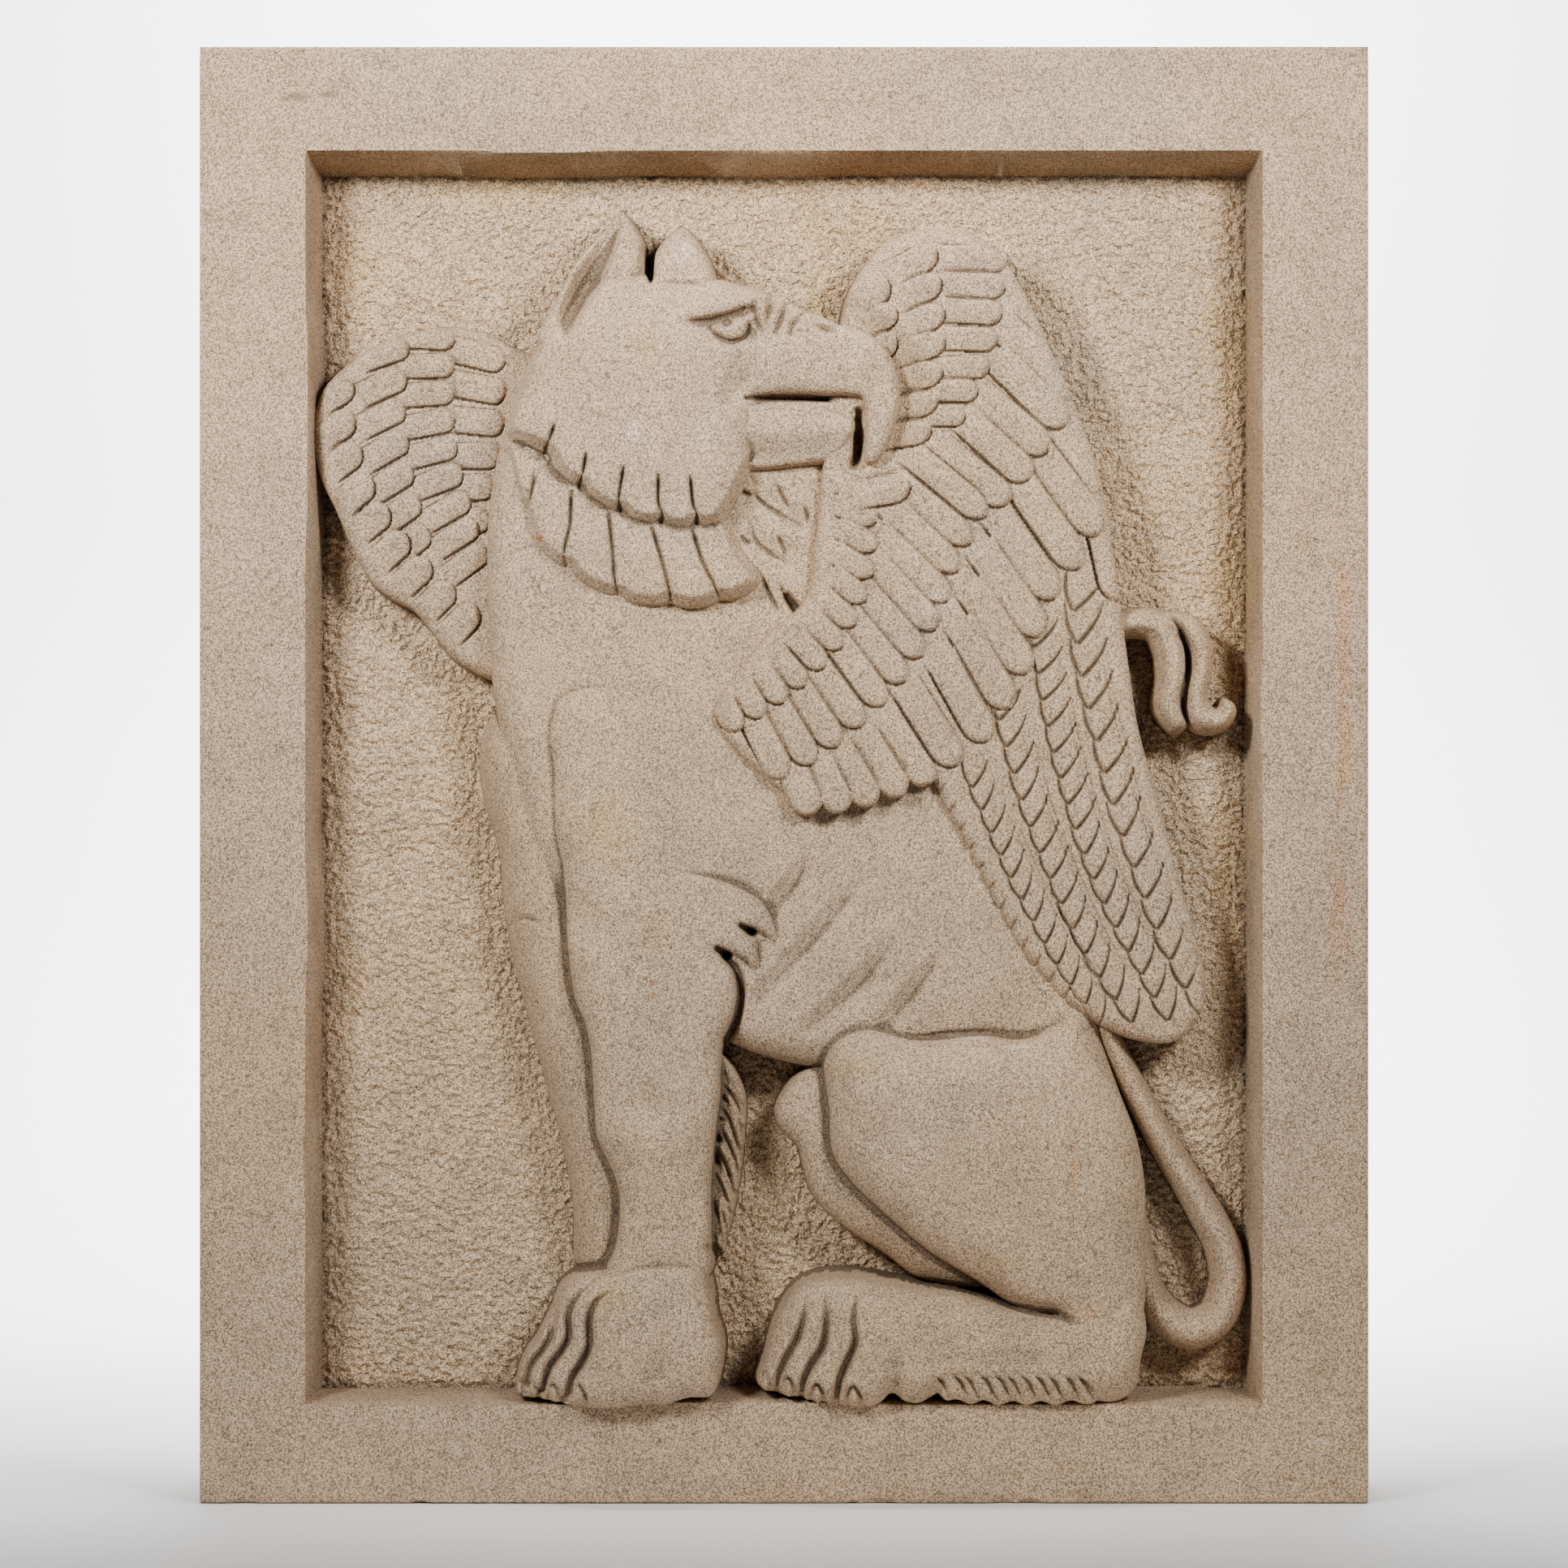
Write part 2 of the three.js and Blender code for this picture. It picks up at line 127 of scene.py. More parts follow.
def soft_lamp(name, place, target, size, power, spread):
    """A square area lamp at a place, facing a target; its beam is as wide as the spread."""
    data = bpy.data.lights.new(name, "AREA")
    data.shape = "SQUARE"
    data.size = size
    data.energy = power
    data.spread = math.radians(spread)
    lamp = new_object(name, data)
    lamp.location = place
    away = np.array(target) - np.array(place)
    lamp.rotation_euler = (
        math.atan2(math.hypot(away[0], away[1]), -away[2]), 0,
        math.atan2(away[1], away[0]) - math.radians(90))
    return lamp


LAMP_AWAY = 1.2  # how far in front of the panel the side lamps stand
soft_lamp("lamp_left", (-0.78, FACE_Y - LAMP_AWAY, 1.06), (-0.14, FACE_Y, 0.70), 0.30, 6.75, 75)
soft_lamp("lamp_right", (0.76, FACE_Y - LAMP_AWAY, 1.06), (0.14, FACE_Y, 0.70), 0.30, 5.45, 75)
soft_lamp("lamp_backdrop", (0.0, 0.35, 2.2), (0, 1.4, 0.5), 1.2, 90, 80)

world = bpy.data.worlds.new("studio")
world.use_nodes = True
sky = world.node_tree.nodes["Background"]
sky.inputs["Color"].default_value = (1, 0.98, 0.95, 1)
sky.inputs["Strength"].default_value = 0.03  # hardly any light from all round
bpy.context.scene.world = world


def plain_material(name, colour, roughness):
    """A flat studio finish for the floor and the backdrop."""
    material = bpy.data.materials.new(name)
    material.use_nodes = True
    shader = material.node_tree.nodes["Principled BSDF"]
    shader.inputs["Base Color"].default_value = (*colour, 1)
    shader.inputs["Roughness"].default_value = roughness
    return material


def studio_sweep():
    """A floor that curves up into a backdrop behind the panel."""
    half, near, back, bend, high = 6.0, -1.0, 1.4, 0.6, 4.5
    gap = 0.0005  # keeps the floor just clear of the panel's underside
    profile = [(near, 0.0), (back - bend, 0.0)]
    profile += [(back - bend + bend * math.sin(a), bend - bend * math.cos(a))
                for a in np.linspace(0, math.pi / 2, 12)[1:]]
    profile.append((back, high))
    corners = [(side, y, z - gap) for y, z in profile for side in (-half, half)]
    faces = [(2 * i, 2 * i + 1, 2 * i + 3, 2 * i + 2) for i in range(len(profile) - 1)]
    mesh = bpy.data.meshes.new("studio_sweep")
    mesh.from_pydata(corners, [], faces)
    mesh.shade_smooth()
    sweep = new_object("studio_sweep", mesh)
    mesh.materials.append(plain_material("studio_white", (0.86, 0.86, 0.86), 0.9))


studio_sweep()
print("camera lens:", round(camera_data.lens, 1), "mm")

# %% [markdown]
# ## Sheets of heights
#
# A sheet is a window of the panel with one height at each node of a fine grid.
# The whole carving could be one sheet, but then most of its points would be
# spent on the flat border. So the block has a sheet of its own with wide spacing,
# and the head, the body, the wings and the tail have finer ones, laid into it.

# %% Sheets
def between(values, i, j, down, across):
    """A grid's value between four nodes, at shares of the way down and across from (i, j)."""
    upper = values[i, j] * (1 - across) + values[i, j + 1] * across
    lower = values[i + 1, j] * (1 - across) + values[i + 1, j + 1] * across
    return upper * (1 - down) + lower * down


class Sheet:
    """A window of the panel, in millimetres, with a height at every node."""

    def __init__(self, left, right, foot, head, step):
        self.step = step
        self.x = np.arange(left, right + step / 2, step, dtype=np.float32)
        self.z = np.arange(foot, head + step / 2, step, dtype=np.float32)
        self.X, self.Z = np.meshgrid(self.x, self.z)
        self.h = np.full(self.X.shape, ABSENT, np.float32)

    def near(self, points, reach):
        """The slices of the grid within reach of a set of points."""
        points = np.atleast_2d(points)
        low, high = points[:, :2].min(0) - reach, points[:, :2].max(0) + reach
        columns = np.searchsorted(self.x, (low[0], high[0]))
        rows = np.searchsorted(self.z, (low[1], high[1]))
        return slice(rows[0], rows[1]), slice(columns[0], columns[1])

    def at(self, values, x, z):
        """Values of the grid read at any place, between its nodes."""
        u = np.clip(np.interp(x, self.x, np.arange(len(self.x))), 0, len(self.x) - 1.001)
        v = np.clip(np.interp(z, self.z, np.arange(len(self.z))), 0, len(self.z) - 1.001)
        i, j = v.astype(int), u.astype(int)
        return between(values, i, j, v - i, u - j)


def blend_up(a, b, reach):
    """The higher of two heights, with a soft fillet where they are close."""
    if reach <= 0:
        return np.maximum(a, b)
    close = np.maximum(reach - np.abs(a - b), 0)
    return np.maximum(a, b) + close * close / (4 * reach)


def smooth_step(low, high, value):
    """0 below low, 1 above high, and a soft rise between them."""
    t = np.clip((value - low) / (high - low), 0, 1)
    return t * t * (3 - 2 * t)


def blur(values, radius):
    """A soft average over a radius given in nodes."""
    reach = max(1, int(math.ceil(radius * 2.5)))
    weights = np.exp(-0.5 * (np.arange(-reach, reach + 1) / radius) ** 2)
    weights = (weights / weights.sum()).astype(np.float32)
    for axis in (0, 1):
        widths = [(0, 0), (0, 0)]
        widths[axis] = (reach, reach)
        padded = np.pad(values, widths, mode="edge")
        total = np.zeros_like(values)
        for i, weight in enumerate(weights):
            part = [slice(None), slice(None)]
            part[axis] = slice(i, i + values.shape[axis])
            total += weight * padded[tuple(part)]
        values = total
    return values


def roughness(sheet, size, seed):
    """Soft noise of about -1 to 1 whose bumps are about this many millimetres wide."""
    rng = np.random.default_rng(seed)
    rows = int((TALL + 4 * size) / size) + 3
    columns = int((WIDTH + 4 * size) / size) + 3
    lattice = rng.standard_normal((rows, columns)).astype(np.float32)
    u = (sheet.X + WIDTH / 2 + size) / size
    v = (sheet.Z + size) / size
    i, j = v.astype(int), u.astype(int)
    fv, fu = (t * t * (3 - 2 * t) for t in (v - i, u - j))
    return between(lattice, i, j, fv, fu)


print("100 by 100 mm at 1 mm take", Sheet(0, 100, 0, 100, 1).h.size, "heights")

# %% [markdown]
# ## Curves through a few points
#
# Every outline and every limb is drawn by a smooth curve through a handful of
# points, as with a bent lath on the drawing. Further numbers, such as a limb's
# half width and its height, can ride along with each point.

# %% Curves
def curve(points, gap=1.0, closed=False):
    """Rows at even gaps along a smooth curve; columns after the first two ride along."""
    p = np.array(points, float)
    if closed:
        p = np.vstack([p[-1], p, p[:2]])
    else:
        p = np.vstack([2 * p[0] - p[1], p, 2 * p[-1] - p[-2]])
    t = np.concatenate([[0], np.cumsum(np.sqrt(np.hypot(*np.diff(p[:, :2], axis=0).T)))])
    rows = []
    for i in range(1, len(p) - 2):
        before, span, after = t[i] - t[i - 1], t[i + 1] - t[i], t[i + 2] - t[i + 1]
        slope = (p[i + 1] - p[i]) / span
        start = (p[i] - p[i - 1]) / before - (p[i + 1] - p[i - 1]) / (before + span) + slope
        end = (p[i + 2] - p[i + 1]) / after - (p[i + 2] - p[i]) / (span + after) + slope
        s = np.linspace(0, 1, 24, endpoint=False)[:, None]
        rows.append((2 * s**3 - 3 * s**2 + 1) * p[i] + (s**3 - 2 * s**2 + s) * span * start
                    + (3 * s**2 - 2 * s**3) * p[i + 1] + (s**3 - s**2) * span * end)
    rows.append(p[-2][None])
    fine = np.vstack(rows)
    along = np.concatenate([[0], np.cumsum(np.hypot(*np.diff(fine[:, :2], axis=0).T))])
    count = max(2, int(math.ceil(along[-1] / gap)) + 1)
    even = np.linspace(0, along[-1], count)
    return np.column_stack([np.interp(even, along, column) for column in fine.T])


print("an arc of 120 mm at 1 mm gaps:", len(curve([(0, 0), (50, 25), (100, 0)])), "points")

# %% [markdown]
# ## The carving strokes
#
# Five functions carve everything that is smooth:
#
# - `ridge` runs a rounded form along a curve: a shin, a lock, the tail.
# - `pad` raises an outline with rounded edges: the trunk, the head, a wing.
# - `hollow` scoops softly along a curve, and `swell` raises softly, like a muscle.
# - `cut` draws a V-shaped line with tapering ends, one stroke of a fine chisel.

# %% Carving strokes
FINE = 0.75  # spacing of the figure's sheets
FEATHERY = 0.6  # spacing of the wings' sheets
COARSE = 1.2  # spacing of the block's own sheet
STEEP = 18.0  # how many millimetres a form's side drops for each one outwards


def tell(name, heights):
    """Says how high a form has come out."""
    print(name, "up to", round(float(heights.max()), 1), "mm")


def windows(sheet, area, line):
    """For each (x, z, half width, amount) of a line: its window of the area, the squares
    of the distances from it there, the half width and the amount."""
    X, Z = sheet.X[area], sheet.Z[area]
    for x, z, half, amount in line:
        r0, r1 = np.searchsorted(sheet.z, (z - half, z + half)) - area[0].start
        c0, c1 = np.searchsorted(sheet.x, (x - half, x + half)) - area[1].start
        window = (slice(max(r0, 0), r1), slice(max(c0, 0), c1))
        yield window, (X[window] - x) ** 2 + (Z[window] - z) ** 2, half, amount


def ridge(sheet, stations, full=0.45, blend=0.0):
    """A rounded form along a curve of [x, z, half width, height]."""
    line = curve(stations, max(1.0, sheet.step))
    area = sheet.near(line, line[:, 2].max() + 2)
    form = np.full(sheet.h[area].shape, ABSENT, np.float32)
    for window, squares, half, height in windows(sheet, area, line):
        off = squares / half**2
        dome = np.where(off < 1, height * np.maximum(1 - off, 0) ** full, ABSENT)
        form[window] = np.maximum(form[window], dome)
    sheet.h[area] = blend_up(sheet.h[area], form, blend)


def inside(sheet, area, outline):
    """How far each node of an area lies inside an outline; negative outside it."""
    X, Z = sheet.X[area][::2, ::2], sheet.Z[area][::2, ::2]
    best = np.full(X.shape, 1e9, np.float32)
    within = np.zeros(X.shape, bool)
    for (ax, az), (bx, bz) in zip(outline, np.roll(outline, -1, axis=0)):
        dx, dz = bx - ax, bz - az
        t = np.clip(((X - ax) * dx + (Z - az) * dz) / (dx * dx + dz * dz + 1e-9), 0, 1)
        best = np.minimum(best, (X - ax - t * dx) ** 2 + (Z - az - t * dz) ** 2)
        if az != bz:
            within ^= ((az > Z) != (bz > Z)) & (X < (Z - az) * dx / dz + ax)
    signed = np.where(within, np.sqrt(best), -np.sqrt(best))
    rows, columns = sheet.X[area].shape
    signed = np.repeat(np.repeat(signed, 2, 0), 2, 1)[:rows, :columns]
    return blur(signed, 1.0)


def raised(sheet, area, outline, level, edge, drop, full=0.5):
    """The heights of a form with a rounded rim: the rim takes up the edge's width and
    stands lower than the level by the drop. A fullness of 1 makes a flat bevel of it."""
    line = curve(outline, 3.0, closed=True)[:-1, :2]
    depth = inside(sheet, area, line)
    rim = 1 - np.clip(depth / edge, 0, 1)
    if callable(level):
        level = level(sheet.X[area], sheet.Z[area])
    elif isinstance(level, np.ndarray):
        level = level[area]
    form = level - drop * (rim if full == 1 else 1 - (1 - rim * rim) ** full)
    return np.maximum(np.where(depth < 0, level - drop + depth * STEEP, form), ABSENT)


def pad(sheet, outline, level, edge, drop, blend=0.0, full=0.5):
    """Raises a form with a rounded rim from an outline."""
    area = sheet.near(outline, 8)
    form = raised(sheet, area, np.array(outline, float), level, edge, drop, full)
    sheet.h[area] = blend_up(sheet.h[area], form, blend)


def swept(sheet, line, profile):
    """The most of a profile swept along a line of [x, z, half width, amount]."""
    area = sheet.near(line, line[:, 2].max() + 1)
    amount = np.zeros(sheet.h[area].shape, np.float32)
    for window, squares, half, most in windows(sheet, area, line):
        off = np.sqrt(squares) / max(half, 0.1)
        amount[window] = np.maximum(amount[window], most * profile(np.clip(off, 0, 1)))
    return area, amount


def soft(off):
    """A rounded profile: 1 along the middle, running out to nothing at the side."""
    return (1 - off * off) ** 1.5


def hollow(sheet, stations):
    """A scooped channel along a curve of [x, z, half width, depth]."""
    area, depth = swept(sheet, curve(stations, max(0.8, sheet.step)), soft)
    sheet.h[area] -= depth


def swell(sheet, stations):
    """A soft rise along a curve of [x, z, half width, height]."""
    area, rise = swept(sheet, curve(stations, max(0.8, sheet.step)), soft)
    sheet.h[area] += rise


def cut(sheet, points, half=1.1, deep=1.6, taper=0.25):
    """One chisel line through points, tapering over a share of its length at each end."""
    line = curve(points, max(0.5, sheet.step * 0.7))[:, :2]
    t = np.linspace(0, 1, len(line))
    share = np.clip(np.minimum(t, 1 - t) / max(taper, 1e-3), 0.25, 1)
    half = max(half, sheet.step * 0.9)
    line = np.column_stack([line, half * (0.6 + 0.4 * share), deep * share])
    area, depth = swept(sheet, line, lambda off: 1 - off)
    sheet.h[area] -= depth


print("nodes every", FINE, "mm on the figure and", COARSE, "mm on the block")

# %% [markdown]
# ## The body
#
# The trunk is one broad pad, high at the chest and lower at the flank. The neck,
# the shoulder, the legs and the haunch are laid on it and blended in, because
# on the real panel one form runs softly into the next. Where one form passes in
# front of another, such as the haunch over the far knee, there is no blend, which
# leaves the crisp dark line that a mason cuts there.

# %% The trunk
body = Sheet(-168, 196, 46, 616, FINE)


def trunk_level(x, z):
    """High at the chest, lower along the flank, and lowest under the wing."""
    return 51 - 8 * smooth_step(-80, 40, x) - 8 * smooth_step(60, 135, x)


def carve_trunk(sheet):
    pad(sheet, [(-120, 606), (-136, 589), (-149, 553), (-155, 520), (-156, 480), (-154, 440),
                (-153, 424), (-149, 404), (-143, 380), (-136, 352), (-125, 325), (-110, 290),
                (-92, 268), (-66, 256), (-33, 241), (-10, 232), (15, 226), (60, 224), (130, 226),
                (160, 247), (166, 272), (150, 330), (110, 400),
                (60, 480), (30, 540), (10, 585), (-50, 610)],
        trunk_level, edge=20, drop=20)
    # the neck and chest, rounder than the flank
    ridge(sheet, [(-92, 566, 58, 54), (-90, 520, 66, 55), (-88, 470, 68, 53), (-80, 430, 66, 52),
                  (-66, 385, 50, 50)], full=0.6, blend=8)
    # the belly's lower swell and the loin in front of the haunch
    swell(sheet, [(-10, 280, 40, 2.0), (40, 268, 42, 3.0), (90, 262, 36, 2.0)])
    hollow(sheet, [(-8, 400, 26, 1.0), (20, 350, 30, 1.6), (60, 310, 26, 1.2)])


def carve_ribs(sheet):
    """Three soft valleys between the ribs, fading at both ends."""
    for top, bend, foot in (((15, 343), (6, 322), (-8, 308)),
                            ((41, 326), (20, 298), (-13, 264)),
                            ((60, 299), (42, 272), (14, 249)),
                            ((82, 287), (70, 268), (53, 249))):
        hollow(sheet, [(*top, 5, 0.5), (*bend, 9, 4.2), (*foot, 7, 2.6)])
        cut(sheet, [top, bend, foot], half=2.0, deep=1.0, taper=0.5)


carve_trunk(body)
carve_ribs(body)
tell("trunk", body.h)

# %% [markdown]
# ## Legs
#
# A leg is a ridge whose half width follows the muscles and joints: wide at the
# shoulder, narrow at the wrist, wide again where the paw begins.

# %% The forelegs
def carve_far_foreleg(sheet):
    ridge(sheet, [(-130, 408, 22, 45), (-134, 394, 27, 44), (-131, 378, 30, 44), (-122, 345, 30, 44),
                  (-119, 305, 29, 43), (-112, 262, 26, 42), (-104, 225, 24, 40), (-98, 195, 22, 39),
                  (-92, 160, 21, 37), (-90, 128, 22, 37)], full=0.5, blend=1.5)
    cut(sheet, [(-146, 299), (-136, 305), (-127, 302)], half=2.2, deep=2.5)


def foreleg_level(x, z):
    """Highest down the middle of the leg; the shoulder sinks back into the flank."""
    sink = smooth_step(-82, -22, x) * smooth_step(285, 335, z)
    top = smooth_step(380, 428, z) * (1 + 6 * smooth_step(-96, -60, x))
    return 61.5 - 14 * sink - top - 1.5 * smooth_step(215, 165, z)


def carve_near_foreleg(sheet):
    pad(sheet, [(-121, 408), (-117, 419), (-105, 424.5), (-85, 425), (-55, 420), (-24, 400),
                (-14, 360), (-18, 330), (-27, 300), (-31, 285), (-26, 277), (-25, 262), (-29, 247),
                (-33, 240), (-34, 225), (-34, 215), (-36, 198), (-38, 180), (-39, 165), (-39, 140),
                (-40, 118), (-66, 112), (-92, 117), (-93, 123), (-89, 131), (-86, 150), (-87, 165),
                (-92, 178), (-97.5, 190), (-99, 205), (-101, 235), (-104, 250), (-109, 262),
                (-113, 290), (-115, 330), (-119, 350), (-120, 380), (-122, 400)],
        foreleg_level, edge=24, drop=13, blend=6)
    # the upper arm's muscle, and the hollow under its outer side
    swell(sheet, [(-92, 388, 30, 1.0), (-88, 350, 34, 2.6), (-76, 305, 32, 2.6), (-68, 262, 26, 1.4)])
    hollow(sheet, [(-118, 322, 8, 0.5), (-106, 304, 14, 2.6), (-88, 290, 10, 0.8)])
    # the wrist's knob, and the tendons below it
    swell(sheet, [(-84, 198, 11, 1.6), (-66, 190, 17, 2.6), (-48, 197, 11, 1.8)])
    hollow(sheet, [(-66, 214, 8, 0.2), (-67, 206, 10, 1.2), (-67, 199, 6, 0.2)])
    swell(sheet, [(-72, 172, 9, 0.8), (-71, 138, 10, 1.2)])
    hollow(sheet, [(-50, 170, 6, 0.3), (-50, 148, 8, 1.8), (-53, 124, 6, 0.6)])


def carve_elbow(sheet):
    """Two locks of hair that turn down behind the elbow, and the holes under them."""
    pad(sheet, [(-64, 330), (-42, 327), (-23, 320.5), (-12, 313.5), (-6, 303.5), (-4.5, 291),
                (-9, 295.5), (-17, 299), (-14.5, 292), (-14.5, 277), (-20, 283), (-31, 288),
                (-50, 296)],
        lambda x, z: 57.5 - 5 * smooth_step(-30, -5, x), edge=6, drop=6, blend=1.0)
    for x, z in ((-19.5, 300), (-32, 288)):
        hollow(sheet, [(x - 3, z + 1.5, 2.2, 6), (x + 2.5, z - 2, 3.2, 14)])
    hollow(sheet, [(-31, 285, 2.5, 6), (-25.5, 279, 3, 9), (-22.5, 268, 3.4, 9), (-24.5, 254, 3.4, 10),
                   (-30, 242, 4, 12)])


carve_far_foreleg(body)
carve_near_foreleg(body)
carve_elbow(body)
tell("forelegs", body.h[body.Z < 430])

# %% [markdown]
# ## Haunch and hind leg
#
# The haunch is the fullest form of the lower half: a big rounded pad that falls
# off over nearly 30 mm all round. The far knee shows behind it, lower and in shadow.

# %% The haunch and the hind leg
def haunch_level(x, z):
    """The haunch swells to its middle, and sinks into the flank at the top of the rump."""
    middle = np.hypot((x - 95) / 95, (z - 180) / 90)
    rump = smooth_step(108, 156, x) * smooth_step(185, 250, z)
    return 62 + 4.5 * np.clip(1 - middle, 0, 1) - 4 * smooth_step(140, 190, x) - 20 * rump


def carve_haunch(sheet):
    # the far knee and shin
    pad(sheet, [(16, 227), (8, 223), (0, 214), (-4.5, 205), (-4, 197), (1, 190), (7, 184), (10, 172),
                (13, 162), (18, 154), (26, 146), (36, 138), (52, 128), (62, 120), (70, 115),
                (110, 112), (90, 150), (50, 190), (36, 226)],
        lambda x, z: 38 - 3 * smooth_step(180, 120, z), edge=14, drop=14)
    # rump and haunch, down to the heel
    pad(sheet, [(21, 232), (28, 243), (42, 248), (60, 244), (76, 242), (104, 244), (125, 242),
                (138, 250), (150, 264), (162, 262), (167, 240), (176, 212), (184, 190),
                (188.5, 166), (189, 140), (189, 110), (187, 88), (184, 70), (177, 57), (164, 52.5),
                (148, 64), (144, 84), (142, 97), (130, 98), (118, 103), (101, 115), (75, 131),
                (55, 148), (34, 168), (25, 182), (23, 205)],
        haunch_level, edge=29, drop=22, blend=3)
    # the knee cap's bulge, and the hollow beside it
    swell(sheet, [(44, 232, 14, 1.0), (44, 214, 18, 2.4), (42, 192, 14, 1.2)])
    hollow(sheet, [(24, 196, 6, 0.5), (31, 207, 8, 2.0), (27, 222, 6, 0.5)])
    hollow(sheet, [(92, 134, 6, 0.4), (104, 122, 9, 2.4), (114, 112, 6, 1.2)])
    cut(sheet, [(64, 242), (88, 245), (112, 243), (134, 231)], half=2.4, deep=2.0)
    hollow(sheet, [(104, 118, 5, 0.5), (118, 106, 6, 2.5), (132, 101, 6, 2.5), (146, 100, 5, 0.4)])


def carve_hind_foot(sheet):
    pad(sheet, [(-14, 60), (-10, 76), (-4, 96), (6, 111), (20, 116.5), (36, 117), (60, 113),
                (90, 109), (120, 101), (150, 98), (182, 108), (189, 92), (186, 74), (183, 58),
                (172, 51), (150, 54), (120, 56), (84, 58), (77, 55), (70, 51.5), (62, 53),
                (56, 57), (48, 51), (30, 51), (0, 55)],
        lambda x, z: 60 + 2 * smooth_step(120, 40, x) - 8 * smooth_step(40, -10, x)
        - 7 * smooth_step(72, 52, z) * smooth_step(60, 90, x),
        edge=15, drop=17, blend=4)
    swell(sheet, [(150, 86, 12, 1.2), (100, 90, 15, 2.0), (62, 94, 18, 3.0), (44, 90, 18, 3.0)])
    swell(sheet, [(64, 78, 12, 1.6), (72, 66, 10, 2.0)])
    hollow(sheet, [(90, 78, 7, 0.4), (120, 74, 8, 1.6), (150, 72, 7, 0.6)])


carve_haunch(body)
carve_hind_foot(body)
tell("haunch", body.h[body.X > 20])

# %% [markdown]
# ## Paws
#
# Each paw is one rounded mass. Three bent valleys part its four toes, and every
# toe ends in a claw: a drop-shaped nail that two short cuts set off from the toe.

# %% The paws
def part_toes(sheet, lines):
    """Bent valleys between the toes, from the knuckles down to the claws."""
    for line in lines:
        widths = np.interp(np.arange(len(line)), (0, 2, len(line) - 1), (1.8, 3.4, 3.0))
        depths = np.interp(np.arange(len(line)), (0, 2, len(line) - 1), (1.5, 6.0, 8.0))
        hollow(sheet, [(x, z, w, d) for (x, z), w, d in zip(line, widths, depths)])
        cut(sheet, line[1:], half=1.1, deep=1.6)


def carve_claws(sheet, claws):
    """Drop-shaped nails, each given by its middle, width and height."""
    for x, z, wide, high in claws:
        root = (x - 0.1 * wide, z + 0.55 * high)
        level = float(sheet.at(sheet.h, x, z + high * 0.7))
        ridge(sheet, [(x, z + 0.25 * high, 0.25 * wide, level - 0.5),
                      (x, z - 0.1 * high, 0.42 * wide, level - 0.5),
                      (x, z - 0.35 * high, 0.3 * wide, level - 4)], full=0.4)
        cut(sheet, [root, (x - 0.42 * wide, z), (x - 0.45 * wide, z - 0.5 * high)],
            half=1.4, deep=5.0, taper=0.15)
        cut(sheet, [root, (x + 0.35 * wide, z + 0.05 * high), (x + 0.5 * wide, z - 0.35 * high)],
            half=1.5, deep=5.5, taper=0.15)
        hollow(sheet, [(x + 0.42 * wide, z - 0.3 * high, 2.0, 3),
                       (x + 0.4 * wide, z - 0.55 * high, 2.2, 5)])


def carve_fore_paw(sheet):
    pad(sheet, [(-96, 121), (-108, 118), (-117, 112), (-122, 100), (-129, 86), (-136, 76), (-140, 64),
                (-140, 55.5), (-128, 53.5), (-113, 51), (-92, 50), (-76, 52), (-62, 52), (-50, 55.5),
                (-38, 56.5), (-34.5, 66), (-33, 82), (-37, 96), (-39, 112), (-44, 124), (-66, 128)],
        lambda x, z: 66 - 15 * smooth_step(-90, -138, x) - 3 * smooth_step(96, 122, z),
        edge=13, drop=14, blend=2)
    swell(sheet, [(-76, 116, 20, 1.5), (-78, 96, 24, 3.0), (-84, 76, 20, 3.0)])
    hollow(sheet, [(-62, 84, 6, 0.2), (-65, 70, 10, 2.2), (-68, 56, 8, 2.6)])
    swell(sheet, [(-50, 92, 12, 0.8), (-50, 74, 14, 1.8)])


def carve_hind_toes(sheet):
    swell(sheet, [(44, 84, 16, 1.5), (46, 68, 15, 3.0)])
    hollow(sheet, [(60, 84, 4, 0.2), (58, 70, 6, 2.2), (57, 55, 5, 4)])


carve_fore_paw(body)
carve_hind_toes(body)
part_toes(body, ([(-109, 117), (-118, 108), (-121, 98), (-121.5, 88), (-126, 80), (-132, 72),
                  (-135, 62)],
                 [(-99, 117), (-108, 108), (-112, 99), (-112, 88), (-116, 80), (-122, 72), (-126, 59)],
                 [(-90, 113), (-98, 106), (-101, 97), (-101, 84), (-105, 75), (-110, 67), (-114, 55)],
                 [(10, 108), (10, 98), (7, 87), (1, 76), (-3, 66), (-4, 57)],
                 [(21, 109), (22, 96), (20, 83), (14, 73), (10, 64), (9, 54)],
                 [(38, 110), (36, 97), (37, 86), (33, 76), (29, 66), (27, 54)]))
carve_claws(body, ((-106.5, 58, 9, 13), (-119.5, 58, 7.5, 11), (-131, 59.5, 6.5, 9), (-138, 61, 4, 7),
                   (36.5, 57, 9, 13), (17.5, 58, 8, 12), (2.5, 61, 7.5, 12), (-9.5, 63, 6, 11)))
tell("body", body.h)

# %% [markdown]
# ## The head and the collar
#
# The head stands highest. It is a broad domed cheek that narrows into an eagle's
# bill; the bill's hook hangs down past the end of the jaw, with a deep gap behind
# it. Below, the cheek runs out into a skirt of broad scales, and a second row hangs
# under that. Their lower edges are scallops: an arc bulges between one cusp and the
# next, and a bevel runs under each. A deep straight cut parts each scale from the
# next.

# %% The head and the collar
head = Sheet(-170, 68, 440, 682, FINE)


